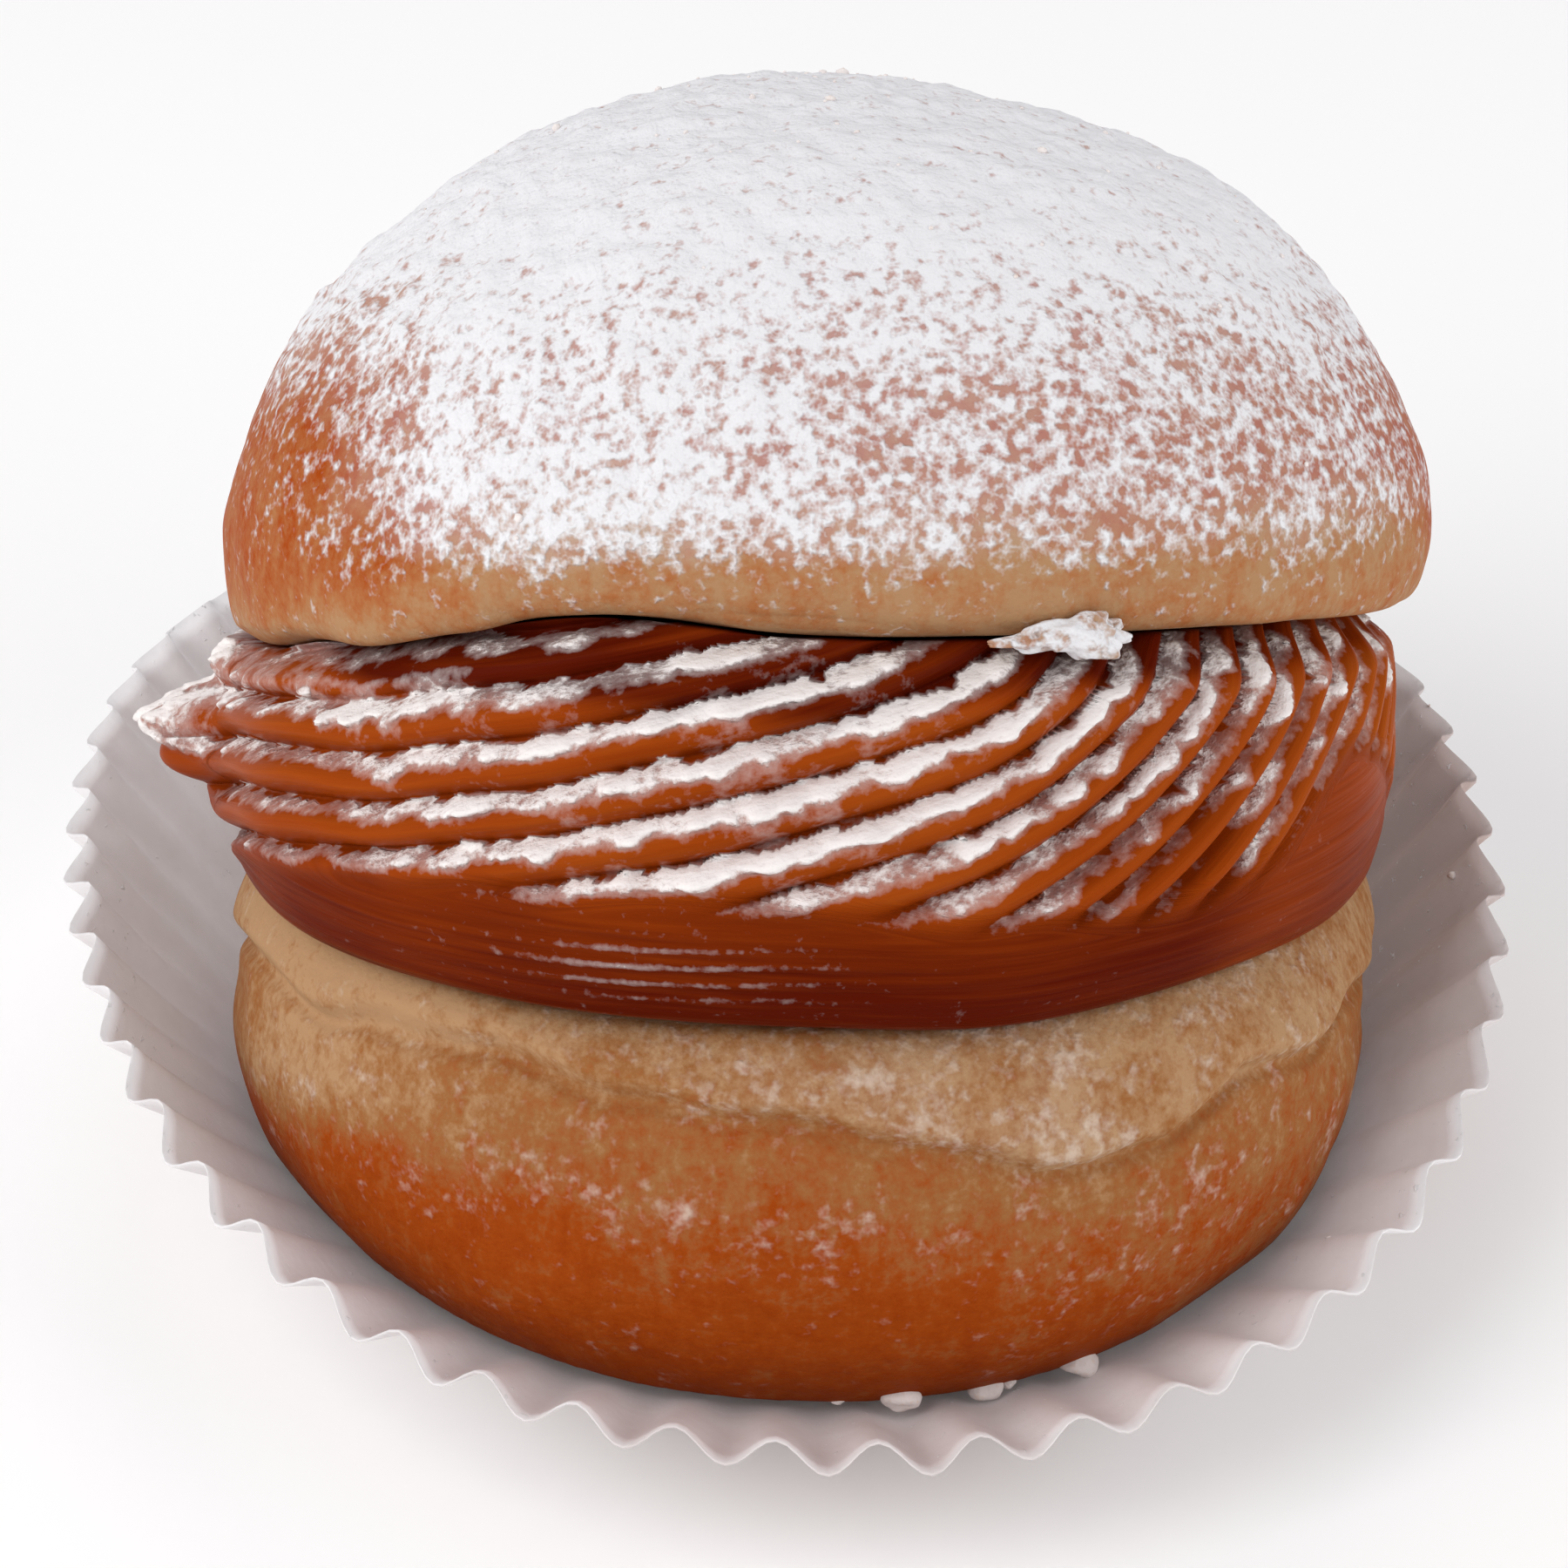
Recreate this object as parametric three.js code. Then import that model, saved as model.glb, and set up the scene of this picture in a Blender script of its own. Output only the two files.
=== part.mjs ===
// A filled doughnut in a fluted paper case: two halves of a fried bun with a thick piped
// caramel filling between them, leaning back a little in the case that it was pressed into.
// Millimetres, +Z up, the mouth of the doughnut towards -Y. The origin lies on the surface
// that the case stands on, under the middle of the whole.
import * as THREE from "three";
import { ParametricGeometry } from "three/addons/geometries/ParametricGeometry.js";
import { mergeVertices } from "three/addons/utils/BufferGeometryUtils.js";

// Paper case. Its angles, and those of the filling, are degrees round from the front, right side positive
const CASE_CENTRE_X = -0.23;
const CASE_CENTRE_Y = 3.04;
const CASE_BASE_RADIUS = 36;
const CASE_WALL = 30.6; // length of the fluted wall, measured up its slope
const CASE_SLOPE_FRONT = 26.8;
const CASE_SLOPE_SIDES = 25; // what is added to that at the sides, where the bun squeezes it up
const CASE_SLOPE_SIDES_POWER = 2.7; // how close to the sides that stays
const CASE_SLOPE_BACK = 20.3; // what is added to that at the back
const CASE_SLOPE_BACK_POWER = 4;
const CASE_TWIST = 5; // by how much the wall stands up more at the front left and back right
const CASE_FLUTES = 55;
const CASE_FLUTE_DEPTH = 2.2; // crest to valley at the rim
const CASE_PAPER = 0.5;

// Lower half of the bun, a flattened ball settled in the case
const BUN_X = 2.07;
const BUN_Y = -12.71;
const BUN_Z = 19;
const BUN_LEAN = 17;
const LOWER_RADIUS = 43;
const LOWER_HEIGHT = 30; // half the height of the ball that the lower half is part of
const LOWER_CUT = 12.05; // the cut, above the widest line
const LOWER_CUT_TILT = 0.5; // beyond the lean of the ball

// Upper half of the bun, a dome that rests on the filling
const UPPER_RADIUS = 45;
const UPPER_DOME = 33.8; // from the widest line to the top
const UPPER_SKIRT = 24; // half height of the curve that draws in under the widest line
const UPPER_CUT = 5.35; // the cut, below the widest line
const UPPER_X = 1.1; // middle of its cut, in the doughnut's own frame
const UPPER_Y = 0.8;
const UPPER_Z = 30.75;
const UPPER_TILT = 12; // beyond the lean of the ball
const UPPER_CROWN = 1.3; // how far the top of the dome sits to the right
const UPPER_POINT = 1.07; // 1 is an elliptical dome, more is a more pointed one
const UPPER_SAG = 6; // how far its back edge droops
const UPPER_SAG_START = -10;

// Cut edges of both halves
const LIP_ROUND = 2.6;
const LIP_LIFT = 1.6; // how far the upper one gapes, left of the middle
const LIP_LIFT_X = -16;
const LIP_LIFT_WIDTH = 10;
const LIP_DROOP = 3; // how far it hangs down beside that
const LIP_DROOP_X = -34;
const LIP_DROOP_WIDTH = 6;
const LIP_REACH = 20; // how far in from the edge both fade out
const LIP_SIDE = 3.2; // how far the edge hangs down round the left side
const LIP_SIDE_ANGLE = -82;
const LIP_SIDE_WIDTH = 27;

// Piped filling
const FILLING_RADIUS = 42;
const FILLING_BULGE_FRONT = 5;
const FILLING_BULGE_BACK = -3;
const FILLING_RECESS = 3.5; // how far it draws in under the upper half
const FILLING_RECESS_START = 0.82; // share of its height where that starts
const RIDGE_SPACING = 3.5;
const RIDGE_DEPTH = 1.8;
const RIDGE_PROUD = 0.35; // share of the depth by which a crest stands out from the smooth foot
const RIDGE_START = -80; // where the ridges lie flattest
const RIDGE_FIRST = 1.4; // height of the lowest crest there
const RIDGE_STEEPEST = 40;
const RIDGE_SLOPE = 0.12; // millimetres climbed in a degree where they lie flattest
const RIDGE_SLOPE_ADDED = 0.5; // what is added to that where they are steepest
const RIDGE_BEND = 3.5; // how late they turn up
const RIDGES_A_TURN = 32; // ridges that climb past one point in a turn
const RIDGE_DIP = 4.4; // how far they dip towards the sides, and twice that at the back
const FOOT_HEIGHT = 10.3; // smooth foot under the ridges, where it is tallest
const FOOT_DROP = 12.3; // how much lower it is at the sides
const FOOT_TALLEST = -8;
const FOOT_LEAST = 1.5;
const FOOT_RIGHT = 10.8; // how far it climbs again at the right
const FOOT_RIGHT_ANGLE = 63;
const FOOT_RIGHT_WIDTH = 17;
const BLOB_REACH = 5.6; // the ends of two piped strands that stick out at one side
const BLOB_WIDTH = 5.4;
const BLOB_HEIGHT = 3.6;
const BLOB_ANGLE = -92;
const BLOB_RISE = 7.6;

const GAP = 0.45; // clearance between touching pieces

const { clamp, degToRad, lerp, smoothstep } = THREE.MathUtils;

// Smaller and larger of two heights, with the corner between them rounded off
const softMin = (a, b, round) => (a + b - Math.hypot(a - b, round)) / 2;
const softMax = (a, b, round) => (a + b + Math.hypot(a - b, round)) / 2;

// A surface with its seam and poles closed, and the triangles that collapsed there left out
function welded(geometry) {
  geometry.deleteAttribute("normal");
  geometry.deleteAttribute("uv");
  const merged = mergeVertices(geometry, 1e-4);
  const corners = merged.getIndex().array;
  const kept = [];
  for (let i = 0; i < corners.length; i += 3) {
    const [a, b, c] = corners.slice(i, i + 3);
    if (a !== b && b !== c && c !== a) kept.push(a, b, c);
  }
  merged.setIndex(kept);
  merged.computeVertexNormals();
  return merged;
}

// A closed skin of rows from pole to pole: place(turn, row) gives the point at a share of the turn
function closedSkin(columns, rows, place) {
  const point = (u, v, target) => target.copy(place(u, Math.round(v * rows)));
  return welded(new ParametricGeometry(point, columns, rows));
}

// A unit ball with its rows at the given latitudes, each of its points then moved by shape
function shapedBall(latitudes, columns, shape) {
  const profile = latitudes.map((degrees) => {
    const radius = Math.abs(degrees) === 90 ? 0 : Math.cos(degToRad(degrees));
    return new THREE.Vector2(radius, Math.sin(degToRad(degrees)));
  });
  const geometry = new THREE.LatheGeometry(profile, columns).rotateX(Math.PI / 2);
  const position = geometry.getAttribute("position");
  const point = new THREE.Vector3();
  for (let i = 0; i < position.count; i++) {
    shape(point.fromBufferAttribute(position, i));
    position.setXYZ(i, point.x, point.y, point.z);
  }
  return welded(geometry);
}

// Paper case: slope of its wall at an angle round from the front, in radians
function caseSlope(angle) {
  const sides = CASE_SLOPE_SIDES * Math.abs(Math.sin(angle)) ** CASE_SLOPE_SIDES_POWER;
  const back = CASE_SLOPE_BACK * ((1 - Math.cos(angle)) / 2) ** CASE_SLOPE_BACK_POWER;
  return degToRad(CASE_SLOPE_FRONT + sides + back - CASE_TWIST * Math.sin(2 * angle));
}

// Height of the flutes' crests over a point on the plan
function caseHeight(x, y) {
  const dx = x - CASE_CENTRE_X;
  const dy = y - CASE_CENTRE_Y;
  const slope = caseSlope(Math.atan2(dx, -dy));
  const climbed = Math.max(0, Math.hypot(dx, dy) - CASE_BASE_RADIUS) / Math.cos(slope);
  const crest = (CASE_FLUTE_DEPTH / 2) * (climbed / CASE_WALL);
  return CASE_PAPER + climbed * Math.sin(slope) + crest / Math.cos(slope);
}

// A point of the wall: up is the share of it climbed, flute runs from -1 in a valley to 1 on a crest
function casePoint(angle, up, flute, paper) {
  const slope = caseSlope(angle);
  const swing = (CASE_FLUTE_DEPTH / 2) * up * flute;
  const radius = CASE_BASE_RADIUS + up * CASE_WALL * Math.cos(slope) - swing * Math.sin(slope);
  const height = up * CASE_WALL * Math.sin(slope) + swing * Math.cos(slope);
  return new THREE.Vector3(
    CASE_CENTRE_X + radius * Math.sin(angle),
    CASE_CENTRE_Y - radius * Math.cos(angle),
    height + paper,
  );
}

function paperCase() {
  const flute = [1, 0, -1, 0];
  const columns = CASE_FLUTES * flute.length;
  // Up the outside of the wall, over the rim and down the inside: share climbed and paper thickness
  const wall = [
    [0, 0],
    [1, 0],
    [1, CASE_PAPER],
    [0, CASE_PAPER],
  ];
  const last = wall.length + 1;
  return closedSkin(columns, last, (turn, row) => {
    if (row === 0) return new THREE.Vector3(CASE_CENTRE_X, CASE_CENTRE_Y, 0);
    if (row === last) return new THREE.Vector3(CASE_CENTRE_X, CASE_CENTRE_Y, CASE_PAPER);
    const [up, paper] = wall[row - 1];
    const swing = flute[Math.round(turn * columns) % flute.length];
    return casePoint(2 * Math.PI * turn, up, swing, paper);
  });
}

// Cuts: their heights in the doughnut's own frame, over a point on its plan
function lowerCut(x, y) {
  return LOWER_CUT - y * Math.tan(degToRad(LOWER_CUT_TILT));
}

// How far the underside of the upper half lies above its flat cut, in its own frame. Only the
// skirt hangs down at the left: share is how much of that a point has.
function undersideLift(x, y, share = 1) {
  const sag = UPPER_SAG * clamp((y - UPPER_SAG_START) / (UPPER_RADIUS - UPPER_SAG_START), 0, 1) ** 2;
  const lift = LIP_LIFT * Math.exp(-(((x - LIP_LIFT_X) / LIP_LIFT_WIDTH) ** 2));
  const droop = LIP_DROOP * Math.exp(-(((x - LIP_DROOP_X) / LIP_DROOP_WIDTH) ** 2));
  const inside = UPPER_RADIUS - 5 - LIP_REACH;
  const turned = (Math.atan2(x, -y) - degToRad(LIP_SIDE_ANGLE)) / degToRad(LIP_SIDE_WIDTH);
  const edge = smoothstep(Math.hypot(x, y), inside, UPPER_RADIUS - 5);
  const side = LIP_SIDE * share * Math.exp(-(turned ** 2)) * edge;
  return (lift - droop) * clamp((-y - inside) / LIP_REACH, 0, 1) - sag - side;
}

function upperCut(x, y) {
  const tilt = degToRad(UPPER_TILT);
  const level = (y - UPPER_Y) / Math.cos(tilt);
  const along = level - undersideLift(x - UPPER_X, level) * Math.tan(tilt);
  const lift = undersideLift(x - UPPER_X, along);
  return UPPER_Z - (y - UPPER_Y) * Math.tan(tilt) + lift / Math.cos(tilt);
}

// Lower half: the ball, cut across above its widest line and pressed flat where it rests
function bunBottom(toWorld) {
  const toLocal = toWorld.clone().invert();
  const latitudes = [-90, -75, -62, -52, -44, -36, -28, -20, -12, -4, 4, 9, 13, 16, 19, 23, 30, 45, 90];
  return shapedBall(latitudes, 60, (point) => {
    point.multiply(new THREE.Vector3(LOWER_RADIUS, LOWER_RADIUS, LOWER_HEIGHT));
    point.z = softMin(point.z, lowerCut(point.x, point.y), LIP_ROUND);
    point.applyMatrix4(toWorld);
    point.z = Math.max(point.z, caseHeight(point.x, point.y) + GAP);
    point.applyMatrix4(toLocal);
  });
}

// A point of the unit ball's upper half, moved on to the dome
function domePoint(point) {
  const spread = UPPER_RADIUS * Math.hypot(point.x, point.y) ** (UPPER_POINT - 1);
  const height = point.z ** UPPER_POINT;
  point.set(point.x * spread + UPPER_CROWN * height, point.y * spread, UPPER_DOME * height);
}

// Upper half: the dome and its drawn-in skirt, cut flat beneath
function bunTop() {
  const skirt = [-90, -60, -40, -30, -24, -20, -17, -14, -11, -8, -3];
  const dome = [4, 12, 20, 28, 36, 44, 52, 62, 75, 90];
  return shapedBall([...skirt, ...dome], 84, (point) => {
    const hanging = smoothstep(-point.z, 0, 0.22);
    if (point.z > 0) domePoint(point);
    else point.multiply(new THREE.Vector3(UPPER_RADIUS, UPPER_RADIUS, UPPER_SKIRT));
    point.z = softMax(point.z + UPPER_CUT, 0, LIP_ROUND);
    point.z += undersideLift(point.x, point.y, hanging);
  });
}

// Filling: the height of the groove under a ridge after some degrees from where the ridges lie
// flattest. They turn up towards the right, and behind they flatten again so as to meet
// themselves after one turn.
function ridgeClimb(degrees) {
  const rising = RIDGE_STEEPEST - RIDGE_START;
  const falling = 360 - rising;
  const gained = (RIDGE_SLOPE_ADDED * rising) / (RIDGE_BEND + 1);
  const even = RIDGE_FIRST - RIDGE_SPACING / 2 + RIDGE_SLOPE * degrees;
  if (degrees <= rising) return even + gained * (degrees / rising) ** (RIDGE_BEND + 1);
  const left = RIDGES_A_TURN * RIDGE_SPACING - RIDGE_SLOPE * 360 - gained;
  const power = (RIDGE_SLOPE_ADDED * falling) / left;
  return even + gained + left * (1 - (1 - (degrees - rising) / falling) ** power);
}

// How far the ridges stand out from the smooth foot of the filling, less than nothing in a groove
function ridgeRelief(angle, rise, climb) {
  const crest = Math.sin((Math.PI * (rise - climb)) / RIDGE_SPACING) ** 2;
  const tall = FOOT_HEIGHT - FOOT_DROP * (1 - Math.cos(angle - degToRad(FOOT_TALLEST)));
  const right = (angle - degToRad(FOOT_RIGHT_ANGLE)) / degToRad(FOOT_RIGHT_WIDTH);
  const foot = Math.max(FOOT_LEAST, tall) + FOOT_RIGHT * Math.exp(-(right ** 2));
  return RIDGE_DEPTH * (crest - 1 + RIDGE_PROUD) * smoothstep(rise, foot - FOOT_LEAST, foot + FOOT_LEAST);
}

// Radius of the filling's side, without ridges, at a share of its height
function fillingSide(angle, share, rise) {
  const bulge = lerp(FILLING_BULGE_BACK, FILLING_BULGE_FRONT, (1 + Math.cos(angle)) / 2);
  const belly = Math.abs(Math.sin(Math.PI * share ** 0.75)) ** 0.7;
  const along = (angle - degToRad(BLOB_ANGLE)) * FILLING_RADIUS;
  const blob = BLOB_REACH * Math.exp(-((along / BLOB_WIDTH) ** 2) - ((rise - BLOB_RISE) / BLOB_HEIGHT) ** 4);
  const recess = FILLING_RECESS * smoothstep(share, FILLING_RECESS_START, 1);
  return FILLING_RADIUS + bulge * belly + blob - recess;
}

// A point of the filling between the two cuts, at a share of the height there
function fillingPoint(angle, radius, share) {
  const x = radius * Math.sin(angle);
  const y = -radius * Math.cos(angle);
  return new THREE.Vector3(x, y, lerp(lowerCut(x, y) + GAP, upperCut(x, y) - GAP, share));
}

function filling() {
  const step = RIDGE_SPACING / 4; // rows of the side run along the ridges, four to each
  const turnRows = RIDGES_A_TURN * 4;
  const sideRows = turnRows + 32;
  const face = [0, 0.53, 0.85]; // rows of the two cut faces, as shares of the radius
  const last = 2 * face.length + sideRows;
  return closedSkin(100, last, (turn, row) => {
    const degrees = 360 * turn;
    const angle = degToRad(RIDGE_START + (degrees < 180 ? degrees : degrees - 360));
    const foot = fillingPoint(angle, FILLING_RADIUS, 0);
    const height = fillingPoint(angle, FILLING_RADIUS, 1).z - foot.z;
    if (row < face.length) return fillingPoint(angle, face[row] * FILLING_RADIUS, 0);
    if (row > last - face.length) return fillingPoint(angle, face[last - row] * FILLING_RADIUS, 1);
    const climb = ridgeClimb(degrees) - RIDGE_DIP * (1 - Math.cos(angle));
    const along = climb + (row - face.length - turnRows) * step;
    // A row that would pass close to an edge runs along it
    const snapped = along < step / 3 ? 0 : along > height - step / 3 ? height : along;
    const rise = Number(snapped.toFixed(6));
    const share = clamp(rise / height, 0, 1);
    const radius = fillingSide(angle, share, rise) + ridgeRelief(angle, rise, climb);
    return fillingPoint(angle, radius, share);
  });
}

// Materials
const finish = (color, roughness) => new THREE.MeshStandardMaterial({ color, roughness, metalness: 0 });
const sugaredCrust = finish(0xdcd6d2, 0.9);
const friedCrust = finish(0xa5683f, 0.75);
const caramel = finish(0x6e3218, 0.35);
const whitePaper = finish(0xece8e4, 0.8);

function piece(name, geometry, material) {
  const mesh = new THREE.Mesh(geometry, material);
  mesh.name = name;
  return mesh;
}

// Assembly
const doughnut = new THREE.Group();
doughnut.position.set(BUN_X, BUN_Y, BUN_Z);
doughnut.rotation.x = -degToRad(BUN_LEAN);
doughnut.updateMatrix();
doughnut.add(piece("bun_bottom", bunBottom(doughnut.matrix), friedCrust));
doughnut.add(piece("filling", filling(), caramel));

const top = piece("bun_top", bunTop(), sugaredCrust);
top.position.set(UPPER_X, UPPER_Y, UPPER_Z);
top.rotation.x = -degToRad(UPPER_TILT);
doughnut.add(top);

const pastry = new THREE.Group();
pastry.add(piece("paper_case", paperCase(), whitePaper));
pastry.add(doughnut);

export default pastry;
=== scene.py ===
"""Looks of a filled doughnut in a fluted paper case.

Two halves of a fried bun hold a thick piped caramel filling, and icing sugar is sieved over
all of it. Sizes are millimetres and angles degrees, and a mesh turns to metres when it is
finished. Angles round the doughnut are counted from the front, with the right side positive.
"""

import itertools
import logging
import math
from dataclasses import dataclass
from enum import Enum

import bmesh
import bpy
import numpy as np
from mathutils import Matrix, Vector


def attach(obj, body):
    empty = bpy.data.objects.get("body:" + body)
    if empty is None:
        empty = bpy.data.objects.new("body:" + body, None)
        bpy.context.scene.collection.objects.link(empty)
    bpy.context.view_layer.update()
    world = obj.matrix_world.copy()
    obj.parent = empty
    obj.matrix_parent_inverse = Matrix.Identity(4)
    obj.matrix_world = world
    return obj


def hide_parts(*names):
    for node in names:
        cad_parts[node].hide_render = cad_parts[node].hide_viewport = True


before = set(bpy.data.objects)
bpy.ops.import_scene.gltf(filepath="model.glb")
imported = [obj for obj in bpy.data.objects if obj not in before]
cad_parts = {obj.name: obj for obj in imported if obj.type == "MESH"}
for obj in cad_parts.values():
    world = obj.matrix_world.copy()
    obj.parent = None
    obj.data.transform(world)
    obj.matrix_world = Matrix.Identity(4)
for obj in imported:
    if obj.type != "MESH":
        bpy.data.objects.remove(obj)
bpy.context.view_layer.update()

Points = np.ndarray  # rows of x, y and z
Field = np.ndarray  # one number for each point
Colour = tuple[float, float, float, float]
Place = tuple[float, float, float]
Layers = tuple[tuple[float, float, int], ...]  # height, size and seed of some lumps
Tones = tuple[tuple[float, float, str], ...]  # start, end and colour of some steps
Tree = bpy.types.NodeTree
Socket = bpy.types.NodeSocket

MM = 0.001
LOG = logging.getLogger("filled_doughnut")

# Turns the lattice of the random lumps away from the axes, so that it doesn't show
ASKEW = np.array([[0.8, 0.6, 0.0], [-0.48, 0.64, 0.6], [0.36, -0.48, 0.8]])
# Moves the lattice along for each seed
SEED_STEP = 37.1
# Large odd numbers that stir a cell of the lattice into a random value
STIR_CELL = np.array([73856093, 19349663, 83492791])
STIR_SEED = 2654435761
STIR_AGAIN = 1274126177


class Note(Enum):
    """Names of what a mesh notes at each of its points for its material."""

    SUGAR = "sugar"
    BROWNING = "browning"
    STRAND = "strand"
    SHADE = "shade"


def linear(colour: str) -> Colour:
    """Turns an sRGB hex colour to linear light.

    Args:
        colour: Six hex digits after a hash sign.

    Returns:
        Red, green, blue and an alpha of one.
    """
    shares = [int(colour[i : i + 2], 16) / 255 for i in (1, 3, 5)]
    lit = [s / 12.92 if s <= 0.04045 else ((s + 0.055) / 1.055) ** 2.4 for s in shares]
    return (lit[0], lit[1], lit[2], 1.0)


def soft_min(a: Field, b: Field, rounding: float) -> Field:
    """Smaller of two heights, with the corner between them rounded off."""
    return (a + b - np.hypot(a - b, rounding)) / 2


def soft_max(a: Field, b: Field, rounding: float) -> Field:
    """Larger of two heights, with the corner between them rounded off."""
    return (a + b + np.hypot(a - b, rounding)) / 2


def smoothstep(value: Field, low: float | Field, high: float | Field) -> Field:
    """Share from 0 at low to 1 at high, level at both ends."""
    share = np.clip((value - low) / (high - low), 0, 1)
    return share * share * (3 - 2 * share)


def mound(value: Field, middle: float | Field, width: float) -> Field:
    """Share that is 1 at the middle and fades to both sides within about the width."""
    return np.exp(-(((value - middle) / width) ** 2))


def round_trip(angle: Field, table: dict[float, float]) -> Field:
    """Value at each angle round the doughnut, from a table of some, joined by straight lines."""
    return np.interp(angle, list(table), list(table.values()), period=360)


def lumps(points: Points, size: float | Place, seed: int) -> Field:
    """Smooth random lumps of about one size.

    Args:
        points: Places to take it at, in millimetres.
        size: From one lump to the next, the same or one size each way.
        seed: Picks one random field out of many.

    Returns:
        Values from -1 to 1.
    """
    scaled = points / np.asarray(size) @ ASKEW + SEED_STEP * seed
    cell = np.floor(scaled).astype(np.int64)
    ease = smoothstep(scaled - cell, 0.0, 1.0)
    total = np.zeros(len(points))
    for corner in itertools.product((0, 1), repeat=3):
        mixed = np.bitwise_xor.reduce((cell + np.array(corner)) * STIR_CELL, axis=1) ^ seed * STIR_SEED
        mixed = (mixed ^ (mixed >> 13)) * STIR_AGAIN & 0xFFFFFFFF
        value = ((mixed ^ (mixed >> 15)) & 0xFFFF) / 32767.5 - 1
        weight = np.prod(np.where(np.array(corner) == 1, ease, 1 - ease), axis=1)
        total += weight * value
    return total


def layered(points: Points, layers: Layers) -> Field:
    """Lumps of several sizes together."""
    return sum(height * lumps(points, size, seed) for height, size, seed in layers)


def add(tree: Tree, kind: str, inputs: dict | None = None, **settings: object) -> bpy.types.Node:
    """Adds a node to a material.

    Args:
        tree: The material's nodes.
        kind: Blender's name for the kind of node.
        inputs: A value, or a socket to link, for each input by its name or number.
        settings: The node's own settings.

    Returns:
        The node.
    """
    node = tree.nodes.new(kind)
    for name, setting in settings.items():
        setattr(node, name, setting)
    for key, value in (inputs or {}).items():
        if isinstance(value, Socket):
            tree.links.new(value, node.inputs[key])
        else:
            node.inputs[key].default_value = value
    return node


def per_metre(size: float) -> float:
    """Scale of a noise texture whose grains are a size in millimetres."""
    return 1 / (size * MM)


def empty_material(name: str) -> tuple[bpy.types.Material, Tree]:
    """Starts a material that has no nodes yet.

    Args:
        name: The real material and how its surface was made.

    Returns:
        The material and its nodes.
    """
    material = bpy.data.materials.new(name)
    material.use_nodes = True
    material.node_tree.nodes.clear()
    return material, material.node_tree


def run_of_tones(tree: Tree, value: Socket, first: str, steps: Tones) -> Socket:
    """Goes from colour to colour as a value grows.

    Args:
        tree: The material's nodes.
        value: The value.
        first: The first colour.
        steps: Where each next colour starts, where it is reached, and the colour.

    Returns:
        The colour.
    """
    colour = linear(first)
    for low, high, tone in steps:
        share = add(tree, "ShaderNodeMapRange", {"Value": value, "From Min": low, "From Max": high})
        inputs = {0: share.outputs["Result"], 6: colour, 7: linear(tone)}
        colour = add(tree, "ShaderNodeMix", inputs, data_type="RGBA").outputs[2]
    return colour


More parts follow.
